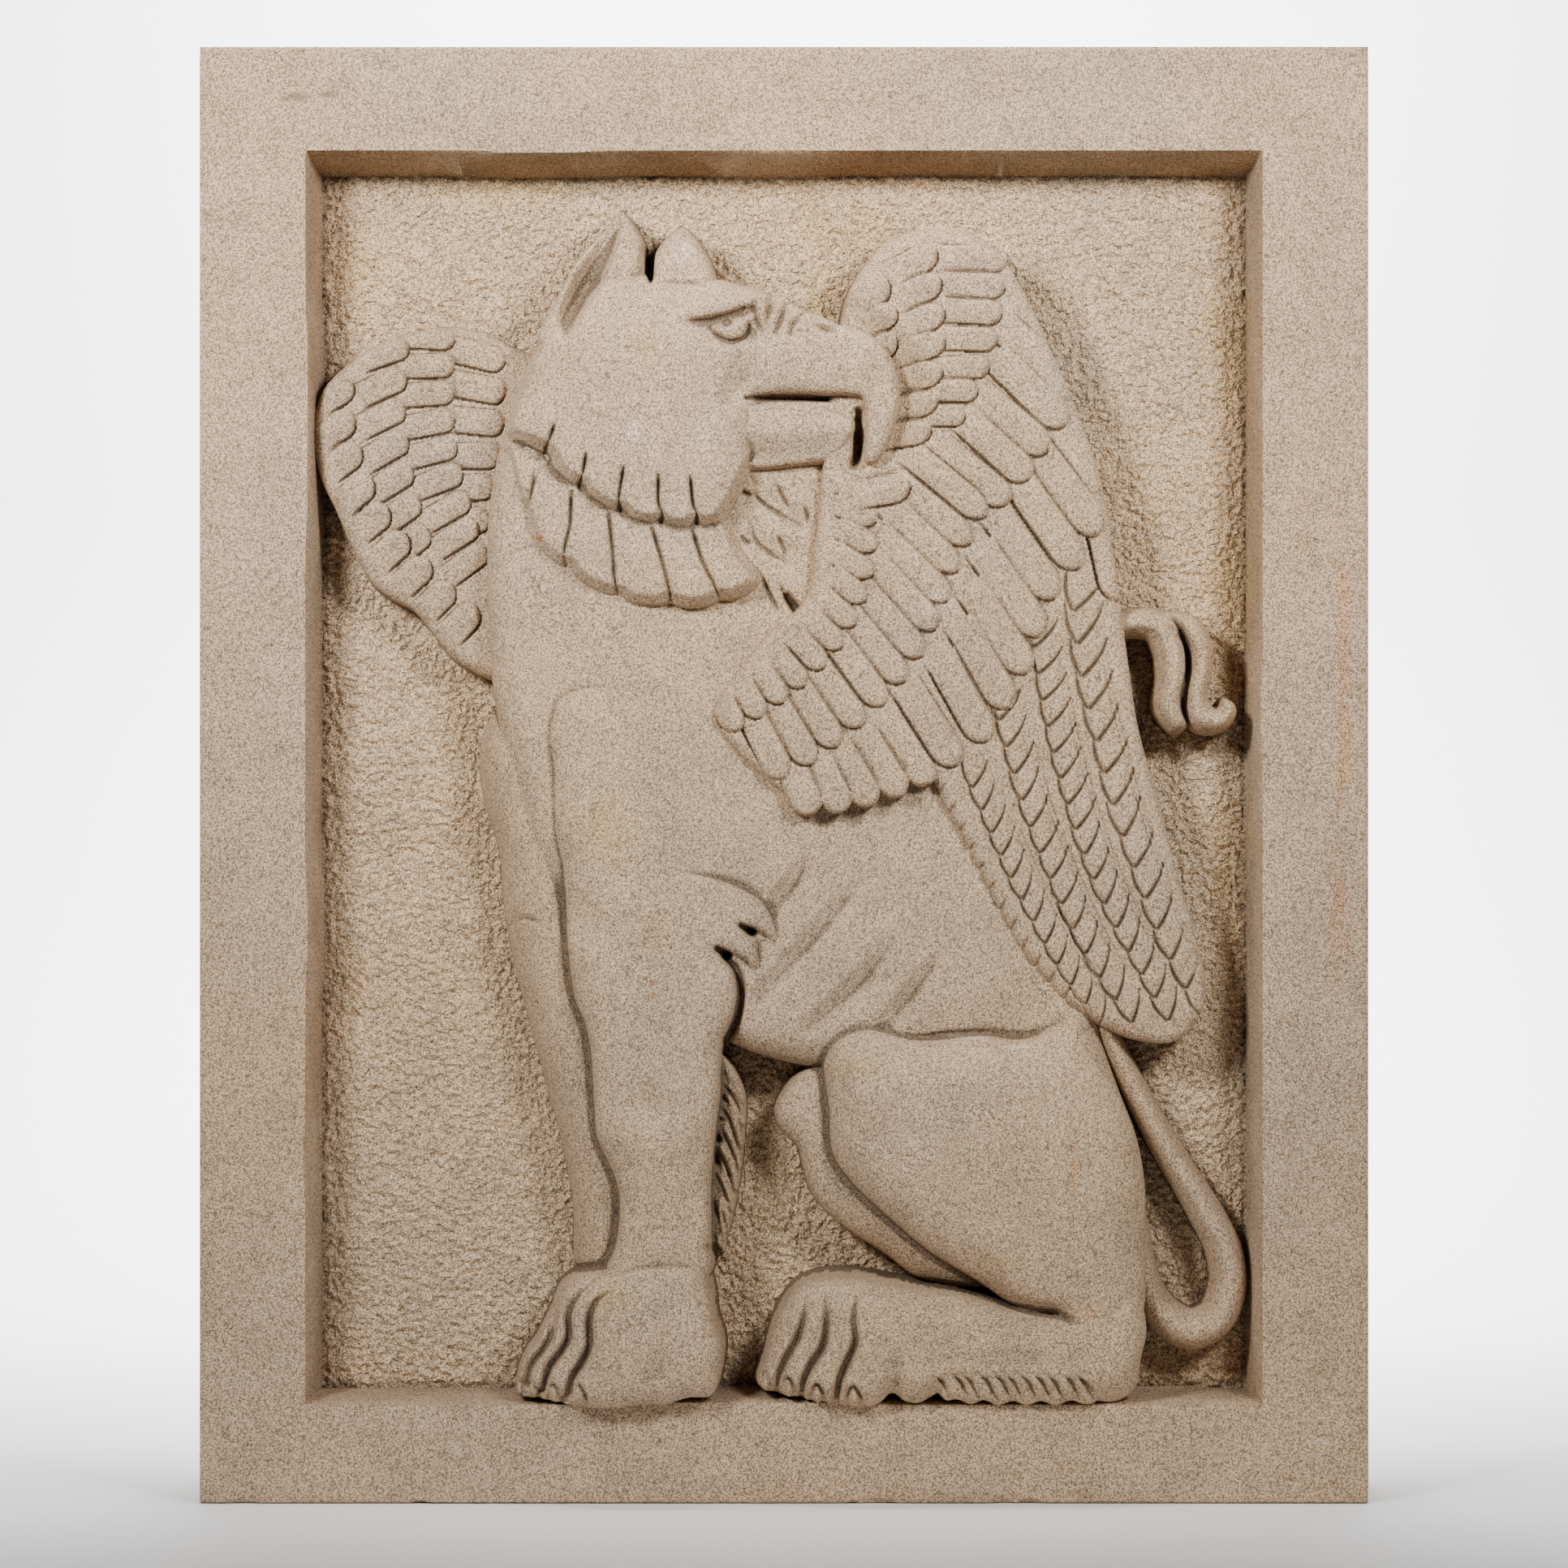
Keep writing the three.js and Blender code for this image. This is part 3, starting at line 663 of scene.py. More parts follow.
def scallops(cusps, bulge):
    """Points along a row of arcs, from cusp to cusp, that swell to the right of the way."""
    points = []
    for (ax, az), (bx, bz) in zip(cusps, cusps[1:]):
        for t in (0.0, 0.12, 0.35, 0.65, 0.88):
            out = bulge * (4 * t * (1 - t)) ** 0.6
            length = math.hypot(bx - ax, bz - az)
            points.append((ax + (bx - ax) * t + (bz - az) / length * out,
                           az + (bz - az) * t - (bx - ax) / length * out))
    return points + [cusps[-1]]


UPPER_CUSPS = [(-122, 545), (-105, 529), (-84.5, 516), (-64, 510.5), (-45.5, 510), (-30, 514)]
LOWER_CUSPS = [(-133.5, 507), (-112, 487), (-86, 473), (-59.5, 469.5), (-33.5, 471), (-13, 481)]


def cheek_level(x, z):
    """The cheek is full; it sinks towards the crown, the nape, the bill and the collar."""
    return (TOP - 0.5 - 8 * smooth_step(590, 642, z) - 6 * smooth_step(-85, -150, x)
            - 5 * smooth_step(-40, 4, x) - 3.5 * smooth_step(545, 505, z))


def lower_row_level(x, z):
    """The lower scales flare outwards to their tips, which lie along a curve."""
    above_tips = z - 470 - 0.0064 * (x + 48) ** 2
    flare = 6 * smooth_step(34, 8, above_tips)
    return 58 + flare - 9 * smooth_step(-100, -146, x) - 3 * smooth_step(-60, -14, x)


def carve_collar(sheet):
    # the lower row hangs from the neck
    pad(sheet, [(-147, 554), (-144, 538), (-140, 522), *scallops(LOWER_CUSPS, 4.0), (-15, 487),
                (-22, 497), (-27, 512), (-34, 530), (-80, 548), (-130, 558)],
        lower_row_level, edge=6, drop=9, full=1)


def carve_skull(sheet):
    everywhere = sheet.near([(sheet.x[0], sheet.z[0]), (sheet.x[-1], sheet.z[-1])], 5)
    dome = raised(sheet, everywhere,
                  np.array([(-112, 638), (-119, 625), (-128, 608), (-137, 588), (-146, 563),
                            (-152, 530), (-150, 470), (-90, 450), (-26, 460), (-18, 500),
                            (-15, 530), (-12, 560), (-4, 590), (8, 604), (9, 619), (-2, 629),
                            (-16, 635), (-34, 639), (-50, 640), (-74, 642), (-92, 645)], float),
                  cheek_level, edge=26, drop=20)
    pad(sheet, [(-113, 640), (-120, 625), (-129, 608), (-138, 588), (-147, 563), (-145, 556),
                (-134, 551), *scallops(UPPER_CUSPS, 3.6), (-26, 520), (-18, 536), (-8, 552),
                (4, 580), (10, 604), (10, 620), (-2, 631), (-16, 637), (-34, 641), (-50, 642),
                (-74, 644), (-92, 647)],
        dome, edge=6, drop=10, full=1)


def cut_collar(sheet):
    for line in ([(-119, 561), (-121.5, 554), (-124, 547), (-122, 543)],
                 [(-102.5, 546), (-104, 537), (-106, 530), (-104.5, 526)],
                 [(-83, 539), (-84.5, 530), (-85.5, 521), (-83.5, 514)],
                 [(-65, 535), (-65, 521), (-63, 515), (-64, 508)],
                 [(-48.5, 534), (-47, 520), (-45, 514), (-46, 508)],
                 [(-128, 543), (-131, 528), (-134, 512), (-133, 504)],
                 [(-110.5, 527), (-111, 510), (-114, 494), (-111, 484)],
                 [(-91, 515), (-89, 497), (-87.5, 480), (-85, 471)],
                 [(-68.5, 508), (-63, 490), (-59.5, 476), (-58, 467)],
                 [(-47.5, 507), (-42, 490), (-36, 478), (-33, 469)]):
        cut(sheet, line, half=1.3, deep=5.0, taper=0.12)
        hollow(sheet, [(*line[0], 1.3, 2.0), (*line[1], 0.8, 0.5)])
    # the shadowed channel where the lower row begins on the neck's side
    hollow(sheet, [(-146, 553, 3, 1), (-142.5, 537, 4, 3.5), (-138.5, 521, 4, 3), (-134, 508, 3, 1.5)])


def carve_bill(sheet):
    # the upper bill, from the face to the bend and down the hook
    pad(sheet, [(-34, 577), (0, 577.5), (20, 576.5), (34, 575.5), (41, 572), (42, 560), (42, 541),
                (46, 541.5), (50, 545), (54, 552), (57.5, 562), (59.5, 574), (58.5, 586),
                (54.5, 598), (49, 605), (42, 609.5), (30, 612.5), (20, 617.5), (10, 621),
                (-12, 629), (-30, 610)],
        lambda x, z: 65 - 3.5 * smooth_step(20, 58, x) - 3 * smooth_step(570, 541, z),
        edge=7, drop=7, blend=2)
    # the cere, a swelling over the root of the bill, and the cheek's edge behind it
    swell(sheet, [(-8, 594, 16, 1.0), (12, 596, 18, 2.2), (36, 592, 16, 1.4)])
    hollow(sheet, [(-17, 604, 6, 0.6), (-21, 590, 9, 3.2), (-28, 574, 8, 2.4)])
    # the floor of the open mouth, then the jaw
    pad(sheet, [(-24, 577), (10, 577.5), (30, 576), (37.5, 573), (37.5, 566), (0, 567), (-24, 566)],
        lambda x, z: 57 - 5 * smooth_step(10, 38, x), edge=1, drop=0.5)
    pad(sheet, [(-36, 571.5), (-22, 571), (-10, 573), (2, 573), (16, 571.5), (28, 568.5),
                (35, 565.5), (37, 563), (35.5, 557), (32.3, 550.5), (26.5, 542.6), (18, 541.6),
                (-36, 541.6)],
        lambda x, z: 62 - 3 * smooth_step(-10, 36, x) - 8 * smooth_step(560, 542, z),
        edge=4, drop=7)


def carve_mouth(sheet):
    # the open line of the mouth, and the gap behind the hook
    hollow(sheet, [(-20, 575.2, 1.3, 4), (-8, 575.6, 1.9, 7), (12, 575.6, 2.1, 9),
                   (30, 575.4, 2.2, 11), (39, 574.6, 2.4, 14)])
    hollow(sheet, [(39.4, 573, 2.4, 20), (39.6, 558, 2.6, 32), (39.6, 542, 2.8, 32)])
    cut(sheet, [(-19, 571.4), (-10, 572.2), (7, 570.8), (22, 568.0), (33, 564)],
        half=0.9, deep=1.5, taper=0.2)
    cut(sheet, [(-21, 567.5), (-10, 568.6), (0, 568.8), (15, 567.2), (33, 562.6)], half=1.3, deep=2.2)
    # the nostril's short line
    hollow(sheet, [(17, 612.5, 1.5, 1.8), (22, 610.8, 1.9, 4.0), (28, 609.2, 1.5, 1.8)])


def carve_eye(sheet):
    hollow(sheet, [(-44, 611, 6, 0.8), (-30, 608, 9, 3.6), (-17, 610, 8, 4.6)])
    pad(sheet, [(-39, 612.5), (-34, 608), (-27.5, 605.2), (-21.5, 607.5), (-19.5, 612), (-20, 617),
                (-27, 617.5), (-34, 616)], lambda x, z: 66.5 + 0.08 * (x + 30), edge=4.5, drop=2.2)
    cut(sheet, [(-40, 613), (-34.5, 607.2), (-27.5, 604.2), (-21, 606.6), (-18.8, 612), (-19.5, 617)],
        half=1.1, deep=4.2, taper=0.1)
    hollow(sheet, [(-29.6, 614, 3.0, 3.2), (-28.6, 612.6, 1.6, 0.8)])
    # the brow: soft above, undercut below, and lifted at its end towards the bill
    swell(sheet, [(-52, 619, 5, 1.2), (-38, 622, 7, 3.4), (-24, 627, 8, 4.8), (-13, 631, 7, 4.8)])
    hollow(sheet, [(-50, 613.5, 3, 1.0), (-37, 614.5, 4.5, 4.2), (-25, 617, 4.5, 5.2),
                   (-18, 621, 3.5, 5.0)])
    cut(sheet, [(-51.5, 615.5), (-42, 615.4), (-34, 617.2), (-25, 620.2), (-16, 624.5)],
        half=1.3, deep=4.0, taper=0.15)
    # folds of skin between the brow and the bill
    for start, middle, end, deep in (((-16, 625), (-14.5, 617), (-11, 609), 3.8),
                                     ((-5, 632), (-7.5, 621), (-11, 607), 3.8),
                                     ((3, 626), (-1, 617.5), (-6, 605), 3.4),
                                     ((12, 619), (5, 613.5), (2, 604), 2.2)):
        hollow(sheet, [(*start, 1.8, deep), (*middle, 2.7, deep), (*end, 1.6, 0.5)])
        cut(sheet, [start, middle, end], half=0.9, deep=0.8)


def carve_ears(sheet):
    # the near ear, leaf-shaped
    pad(sheet, [(-85, 674.5), (-96, 662), (-108, 648.5), (-120, 626), (-129, 604), (-100, 604),
                (-84, 622), (-76, 632), (-73.5, 655), (-79, 668)],
        lambda x, z: 56 - 8 * smooth_step(640, 674, z), edge=9, drop=11)
    # the far ear, its front turned out
    pad(sheet, [(-54, 667), (-61, 662), (-67, 654), (-70, 640), (-69, 628), (-36, 626),
                (-36.5, 640), (-43, 656), (-50, 665)],
        lambda x, z: 53 - 6 * smooth_step(635, 666, z), edge=8, drop=11)


def hollow_ears(sheet):
    # the near ear's shell opens to the back
    hollow(sheet, [(-86, 668, 2.5, 4), (-92, 656, 6.5, 10), (-100, 641, 9, 14), (-108, 626, 8.5, 13),
                   (-113, 613, 6.5, 6), (-114, 606, 4, 1)])
    # the dark notch between the ears
    hollow(sheet, [(-70.7, 655, 3.2, 60), (-70.3, 646, 2.6, 45), (-69.5, 637, 1.8, 10)])


carve_collar(head)
carve_ears(head)
carve_skull(head)
carve_bill(head)
carve_mouth(head)
carve_eye(head)
hollow_ears(head)
cut_collar(head)
tell("head", head.h)

# %% [markdown]
# ## Repeats: feathers laid out by Geometry Nodes
#
# The wings are rows of one shape, the tongue: a long plate with a round end, a
# little higher at its tip than at its root. A Geometry Nodes tree
# lays a row of tongues along a curve through their tips. Its inputs are the
# count, and the heading, length, width and level at both ends of the row.
#
# The tongues aren't kept as separate meshes, because the real ones are part of
# the stone. A second tree casts a ray down onto them from each node of a sheet
# and notes the height that it meets, and the sheet takes those heights.

# %% The tongue
def drawing_mesh(name, corners, faces):
    """A mesh on the drawing plane: x right, y up the panel, z out of the stone, in metres."""
    mesh = bpy.data.meshes.new(name)
    mesh.from_pydata([tuple(c) for c in corners], [], faces)
    return new_object(name, mesh)


def tongue_shape(name, round_share, camber=1.2, lift=3.2, cant=1.5, rim=3.4, rim_share=0.2,
                 fade=0.25):
    """One tongue of unit length and width with its tip at the origin; heights in mm.

    It climbs by the lift to its tip, is arched by the camber, leans to one side by the
    cant, and has a bevelled rim, so that two neighbours leave a V-shaped line between them.
    """
    sides = (-1, -0.9, -0.8, -0.5, 0, 0.5, 0.8, 0.9, 1)
    steps = [(u, 1.0, 0.0) for u in np.linspace(0, 1 - round_share, 6)]
    for turn in (20, 40, 55, 66, 74, 82, 90):
        turn = math.radians(turn)
        steps.append((1 - round_share * (1 - math.sin(turn)), math.cos(turn), math.sin(turn)))
    corners = []
    for u, narrow, ahead in steps:
        for v in sides:
            out = math.hypot(ahead, v * narrow)
            bevel = max(0.0, (out - 1 + rim_share) / rim_share)
            shape = rim * bevel + camber * out**2 - cant * v
            height = lift * (u - 1) - shape * smooth_step(-0.05, fade, u)
            corners.append((u - 1, 0.5 * v * narrow, height * MM))
    row = len(sides)
    faces = [(i * row + j, (i + 1) * row + j, (i + 1) * row + j + 1, i * row + j + 1)
             for i in range(len(steps) - 1) for j in range(row - 1)]
    return drawing_mesh(name, corners, faces)


def stroke_shape(name, strokes):
    """V-shaped strokes, each through (x, y, half width, depth in mm), with tapered ends."""
    corners, faces = [], []
    for points in strokes:
        line = curve(points, 0.08)
        heading = np.gradient(line[:, :2], axis=0)
        heading /= np.linalg.norm(heading, axis=1)[:, None]
        start = len(corners)
        for (x, y, half, deep), (dx, dy) in zip(line, heading):
            corners += [(x - dy * half, y + dx * half, 0), (x, y, deep * MM),
                        (x + dy * half, y - dx * half, 0)]
        for i in range(start, len(corners) - 3, 3):
            faces += [(i, i + 1, i + 4, i + 3), (i + 1, i + 2, i + 5, i + 4)]
    return drawing_mesh(name, corners, faces)


FEATHER = tongue_shape("feather", round_share=0.22)
COVERT = tongue_shape("covert", round_share=0.36, fade=0.4)
# a flight feather's scalloped edge, and the barb that springs from each cusp
BARB = stroke_shape("barb", [
    [(-1.15, 0.02, 0.07, 2.2), (-0.6, -0.09, 0.09, 2.8), (-0.02, -0.02, 0.09, 2.8)],
    [(0.0, 0.02, 0.10, 3.6), (-0.22, 0.38, 0.09, 3.4), (-0.50, 0.74, 0.07, 2.6),
     (-0.86, 1.04, 0.05, 1.8)]])
print("one feather has", len(FEATHER.data.polygons), "faces, one barb", len(BARB.data.polygons))

# %% [markdown]
# ## Two small trees
#
# The first tree lays a row. It puts even points on the curve of the tips, and sets
# a tongue on each, turned and sized by its place in the row. The second tree is
# the one that looks down on a shape from every node of a sheet.

# %% A tree that lays a row
def new_tree(kind, name, inputs, outputs):
    """An empty node tree and what comes into it; sockets are (name, type[, default])."""
    tree = bpy.data.node_groups.new(name, kind)
    for way, sockets in (("INPUT", inputs), ("OUTPUT", outputs)):
        for label, socket_type, *default in sockets:
            socket = tree.interface.new_socket(label, in_out=way, socket_type=socket_type)
            if default:
                socket.default_value = default[0]
    return tree, add(tree, "NodeGroupInput").outputs


def add(tree, kind, inputs=None, **settings):
    """Adds a node, sets its options, and joins or sets its inputs."""
    node = tree.nodes.new(kind)
    for key, value in settings.items():
        setattr(node, key, value)
    for key, value in (inputs or {}).items():
        socket = node.inputs[key]
        if isinstance(value, bpy.types.NodeSocket):
            tree.links.new(value, socket)
        else:
            socket.default_value = value
    return node


def maths(tree, operation, *values):
    """The result of a Math node."""
    return add(tree, "ShaderNodeMath", dict(enumerate(values)), operation=operation).outputs[0]


def give_out(tree, geometry):
    """Ends a Geometry Nodes tree with what it gives out."""
    out = add(tree, "NodeGroupOutput", {"Geometry": geometry})
    out.is_active_output = True


def set_shapes(tree, points, shape, rotation, size):
    """Ends a tree with a shape set on every point, turned and sized, as one real mesh."""
    source = add(tree, "GeometryNodeObjectInfo", {"Object": shape})
    placed = add(tree, "GeometryNodeInstanceOnPoints", {
        "Points": points, "Instance": source.outputs["Geometry"],
        "Rotation": rotation, "Scale": size})
    real = add(tree, "GeometryNodeRealizeInstances", {"Geometry": placed.outputs["Instances"]})
    finished = add(tree, "GeometryNodeSetMaterial",
                   {"Geometry": real.outputs["Geometry"], "Material": GUIDE_STONE})
    give_out(tree, finished.outputs["Geometry"])


GUIDE_STONE = plain_material("guide_stone", (0.5, 0.42, 0.34), 0.9)
NUMBER, WHOLE, OBJECT = "NodeSocketFloat", "NodeSocketInt", "NodeSocketObject"
COLOUR, VECTOR = "NodeSocketColor", "NodeSocketVector"
SHAPES = [("Geometry", "NodeSocketGeometry")]
RANGES = ("Heading", "Length", "Width", "Level")


def row_tree():
    """Tongues along a curve through their tips, from the first values to the last."""
    ranges = [(f"{label} {end}", NUMBER, 0.0) for label in RANGES for end in ("from", "to")]
    tree, given = new_tree("GeometryNodeTree", "tongues_along_a_row", [
        *SHAPES, ("Shape", OBJECT), ("Count", WHOLE, 8), *ranges,
        ("Unevenness", NUMBER, 0.0), ("Seed", WHOLE, 1)], SHAPES)
    line = add(tree, "GeometryNodeResampleCurve",
               {"Curve": given["Geometry"], "Count": given["Count"]})
    factor = add(tree, "GeometryNodeSplineParameter").outputs["Factor"]
    value = {}
    for label in RANGES:
        value[label] = add(tree, "ShaderNodeMapRange", {
            "Value": factor, "To Min": given[f"{label} from"], "To Max": given[f"{label} to"],
        }).outputs["Result"]
    # a hand is never quite even: each tongue turns and stretches a little
    share = add(tree, "FunctionNodeRandomValue", {
        2: -1.0, 3: 1.0, "Seed": given["Seed"]}, data_type="FLOAT").outputs[1]
    wobble = maths(tree, "MULTIPLY", share, given["Unevenness"])
    turn = maths(tree, "ADD", value["Heading"], wobble)
    turn = maths(tree, "RADIANS", turn)
    stretch = maths(tree, "MULTIPLY_ADD", wobble, 0.012, 1.0)
    length = maths(tree, "MULTIPLY", value["Length"], stretch)
    level = add(tree, "ShaderNodeCombineXYZ", {"Z": value["Level"]}).outputs[0]
    lifted = add(tree, "GeometryNodeSetPosition",
                 {"Geometry": line.outputs["Curve"], "Offset": level})
    rotation = add(tree, "ShaderNodeCombineXYZ", {"Z": turn}).outputs[0]
    size = add(tree, "ShaderNodeCombineXYZ", {"X": length, "Y": value["Width"], "Z": 1.0}).outputs[0]
    set_shapes(tree, lifted.outputs["Geometry"], given["Shape"], rotation, size)
    return tree


def drape_tree():
    """Notes, at each point, how far out the shape below it stands."""
    tree, given = new_tree("GeometryNodeTree", "drape", [*SHAPES, ("Shape", OBJECT)], SHAPES)
    shape = add(tree, "GeometryNodeObjectInfo", {"Object": given["Shape"]})
    position = add(tree, "GeometryNodeInputPosition").outputs[0]
    ray = add(tree, "GeometryNodeRaycast", {
        "Target Geometry": shape.outputs["Geometry"], "Source Position": position,
        "Ray Direction": (0, 0, -1), "Ray Length": 2.0})
    met = add(tree, "ShaderNodeSeparateXYZ", {0: ray.outputs["Hit Position"]}).outputs["Z"]
    chosen = add(tree, "GeometryNodeSwitch", {
        "Switch": ray.outputs["Is Hit"], "False": -1.0, "True": met}, input_type="FLOAT")
    noted = add(tree, "GeometryNodeStoreNamedAttribute", {
        "Geometry": given["Geometry"], "Name": "stands", "Value": chosen.outputs[0]},
        data_type="FLOAT", domain="POINT")
    give_out(tree, noted.outputs["Geometry"])
    return tree


def run_tree(thing, tree, values):
    """Puts a tree on an object, sets its inputs by identifier, and returns a plain mesh."""
    modifier = thing.modifiers.new(tree.name, "NODES")
    modifier.node_group = tree
    keys = {item.name: item.identifier for item in tree.interface.items_tree
            if item.item_type == "SOCKET" and item.in_out == "INPUT"}
    for label, value in values.items():
        modifier[keys[label]] = value
    bpy.context.view_layer.update()
    graph = bpy.context.evaluated_depsgraph_get()
    mesh = bpy.data.meshes.new_from_object(thing.evaluated_get(graph))
    thing.modifiers.remove(modifier)
    return mesh


ROW, DRAPE = row_tree(), drape_tree()


def guide_curve(name, points):
    """A smooth curve object through points on the drawing plane."""
    line = curve(points, 3.0)[:, :2] * MM
    data = bpy.data.curves.new(name, "CURVE")
    data.dimensions = "3D"
    spline = data.splines.new("POLY")
    spline.points.add(len(line) - 1)
    spline.points.foreach_set("co", np.column_stack(
        [line, np.zeros(len(line)), np.ones(len(line))]).ravel())
    return new_object(name, data)


def forget(thing):
    """Takes a guide object out of the scene again."""
    bpy.data.objects.remove(thing)


def lay_row(name, shape, tips, count, heading, length, width, level, seed, uneven=2.5):
    """One row of tongues, as a mesh object on the drawing plane."""
    line = guide_curve(name + "_line", tips)
    values = {"Shape": shape, "Count": count, "Unevenness": uneven, "Seed": seed}
    for label, (start, end) in zip(RANGES, (heading, length, width, level)):
        scale = 1.0 if label == "Heading" else MM
        values[f"{label} from"] = start * scale
        values[f"{label} to"] = end * scale
    mesh = run_tree(line, ROW, values)
    forget(line)
    return new_object(name, mesh)


def stands(sheet, shape):
    """How far out a shape stands at every node of a sheet, in millimetres."""
    rows, columns = sheet.X.shape
    places = np.column_stack([sheet.X.ravel() * MM, sheet.Z.ravel() * MM,
                              np.full(rows * columns, 0.5)]).astype(np.float32)
    mesh = bpy.data.meshes.new("nodes_of_the_sheet")
    mesh.vertices.add(len(places))
    mesh.vertices.foreach_set("co", places.ravel())
    points = new_object("nodes_of_the_sheet", mesh)
    draped = run_tree(points, DRAPE, {"Shape": shape})
    heights = np.empty(len(places), np.float32)
    draped.attributes["stands"].data.foreach_get("value", heights)
    forget(points)
    return heights.reshape(rows, columns) / MM


print("trees:", [tree.name for tree in bpy.data.node_groups])

# %% [markdown]
# ## The wings
#
# A wing is a smooth swelling plate with the feathers cut into it row by row. Each
# row's tips stand a little proud, over the roots of the next. The long flight
# feathers are plain bands: a scalloped line runs down the edge of each, and a
# slanting stroke springs from every cusp of it, for the barbs.

# %% The near wing
near_wing = Sheet(-48, 226, 230, 672, FEATHERY)
WING_EDGE = [(16, 500), (19, 530), (22, 560), (24, 590), (29, 612), (34, 632), (42, 646),
             (52, 657), (66, 663.5), (82, 665), (97, 662), (112, 652), (127, 628), (142, 595),
             (154, 568), (166, 532), (173, 490), (179, 445), (185, 405), (196, 365), (207, 325),
             (216, 293), (221, 266), (216, 250), (205, 240), (188, 240), (170, 246), (152, 257),
             (138, 270), (123, 290), (110, 313), (97, 340), (84, 363), (76, 378), (66, 377),
             (48, 371), (28, 366), (14, 364), (2, 369), (-14, 381), (-31, 399), (-38, 410), (-26, 432),
             (-8, 454), (10, 470)]


def wing_level(x, z):
    """High along the shoulder and the leading edge, falling away to the feathers' tips."""
    across = (x - 30 - 0.18 * (z - 450)) / 140
    level = 54.5 - 11 * smooth_step(0.2, 1.0, across) - 4 * smooth_step(420, 240, z)
    return level - 5 * smooth_step(600, 670, z)


MISSED = -20.0  # a ray that meets no tongue reads far less than this


def rows_relief(sheet, rows, first_seed):
    """How far rows of tongues stand over the plate below, and 0 where there are none."""
    relief = np.full(sheet.h.shape, MISSED, np.float32)
    for number, (name, shape, tips, count, *spans) in enumerate(rows):
        laid = lay_row(name, shape, tips, count, *spans, seed=first_seed + number)
        stand = stands(sheet, laid)
        relief = np.where(stand > MISSED, stand, relief)
        forget(laid)
    return np.where(relief > MISSED, relief, 0)


FLUSH = (3.2, 3.2)  # a row's level that leaves its roots flush with the plate
NEAR_ROWS = [
    # name, shape, tips, count, heading, length, width, level
    ("outermost", FEATHER, [(176, 470), (172, 500)], 1, (-76, -76), (60, 60), (21, 21), (2.0, 2.0)),
    ("lower_scapulars", FEATHER, [(76, 374.5), (62, 368.5), (48, 364), (34, 360.5), (15, 359)],
     5, (-56, -66), (44, 40), (16.5, 17.5), FLUSH),
    ("scapulars", FEATHER, [(165, 505), (156, 489), (143, 474), (126, 430), (101, 391), (90, 384)],
     8, (-55, -60), (60, 52), (20, 18.5), FLUSH),
    ("long_coverts", FEATHER, [(154, 577), (147.5, 562), (138, 548), (129, 534.5), (117, 521)],
     5, (-43, -40), (56, 50), (19.5, 18), FLUSH),
    ("middle_coverts", FEATHER, [(105.5, 514), (92, 489), (82, 461), (66, 432), (42, 406), (17, 386),
                                 (0, 377.5)],
     12, (-40, -61), (56, 46), (16.5, 16.5), FLUSH),
    ("small_coverts", COVERT, [(47, 525), (48.5, 498), (43, 471), (32, 448), (14, 428), (-7, 412),
                               (-24, 402)],
     12, (-22, -62), (24, 26), (13.5, 14.5), FLUSH),
    ("upper_third", FEATHER, [(117, 648), (113.5, 618), (107, 592), (94.5, 567)],
     7, (-3, 3), (38, 24), (15.2, 12.5), FLUSH),
    ("upper_second", COVERT, [(80, 653), (84, 621), (83, 590), (77, 559)],
     7, (30, 5), (30, 28), (16.4, 14.6), FLUSH),
    ("upper_first", COVERT, [(54.5, 637), (59, 621), (59, 607)],
     3, (40, 26), (24, 20), (16, 14), FLUSH),
    ("single", COVERT, [(66, 530), (66, 531)], 1, (9, 9), (28, 28), (17, 17), (3.8, 3.8)),
]
# the bands of the flight feathers, from the wing's outer edge inwards; each has
# the cusps' line, their count, the band's heading and its length from cusp to cusp
BANDS = [
    ([(151, 465), (156, 428), (165, 390), (175, 354), (186, 323), (197, 294), (210, 268), (219, 253)],
     14, (-77, -56), (19, 15)),
    ([(130, 446), (135, 418), (141, 390), (149, 362), (158, 335), (168, 311), (180, 288), (201, 251)],
     16, (-80, -54), (15, 14)),
    ([(112, 408), (119, 384), (127, 357), (137, 331), (148, 306), (161, 280), (182, 250)],
     13, (-74, -54), (15, 14)),
    ([(98, 373), (108, 350), (118, 327), (129, 306), (142, 282), (165, 249)],
     12, (-66, -52), (13, 12)),
]

pad(near_wing, WING_EDGE, wing_level, edge=8, drop=7)
plate = near_wing.h > PLATE
relief = rows_relief(near_wing, NEAR_ROWS, 1)
# the lowest row's tips stand out past the plate, over the flank
level = wing_level(near_wing.X, near_wing.Z)
free_tips = (relief != 0) & (near_wing.X < 92) & (near_wing.Z < 394)
near_wing.h = np.where(free_tips, level + relief,
                       np.where(plate, near_wing.h + relief, near_wing.h))
print("near wing rows:", sum(row[3] for row in NEAR_ROWS), "feathers")

# %% [markdown]
# ## The flight feathers
#
# The long feathers are bands, not tongues. Each gets a faint arch, two fine lines for
# its shaft and a row of barbs, which are cut into it and not laid on it. The barbs
# stop where the rows of tongues begin.

# %% The flight feathers
SHAFT_OFF = 12.5  # from the cusps' line to the shaft
SHAFT_LINES = (0.0, 2.3)  # the shaft is drawn by two lines side by side


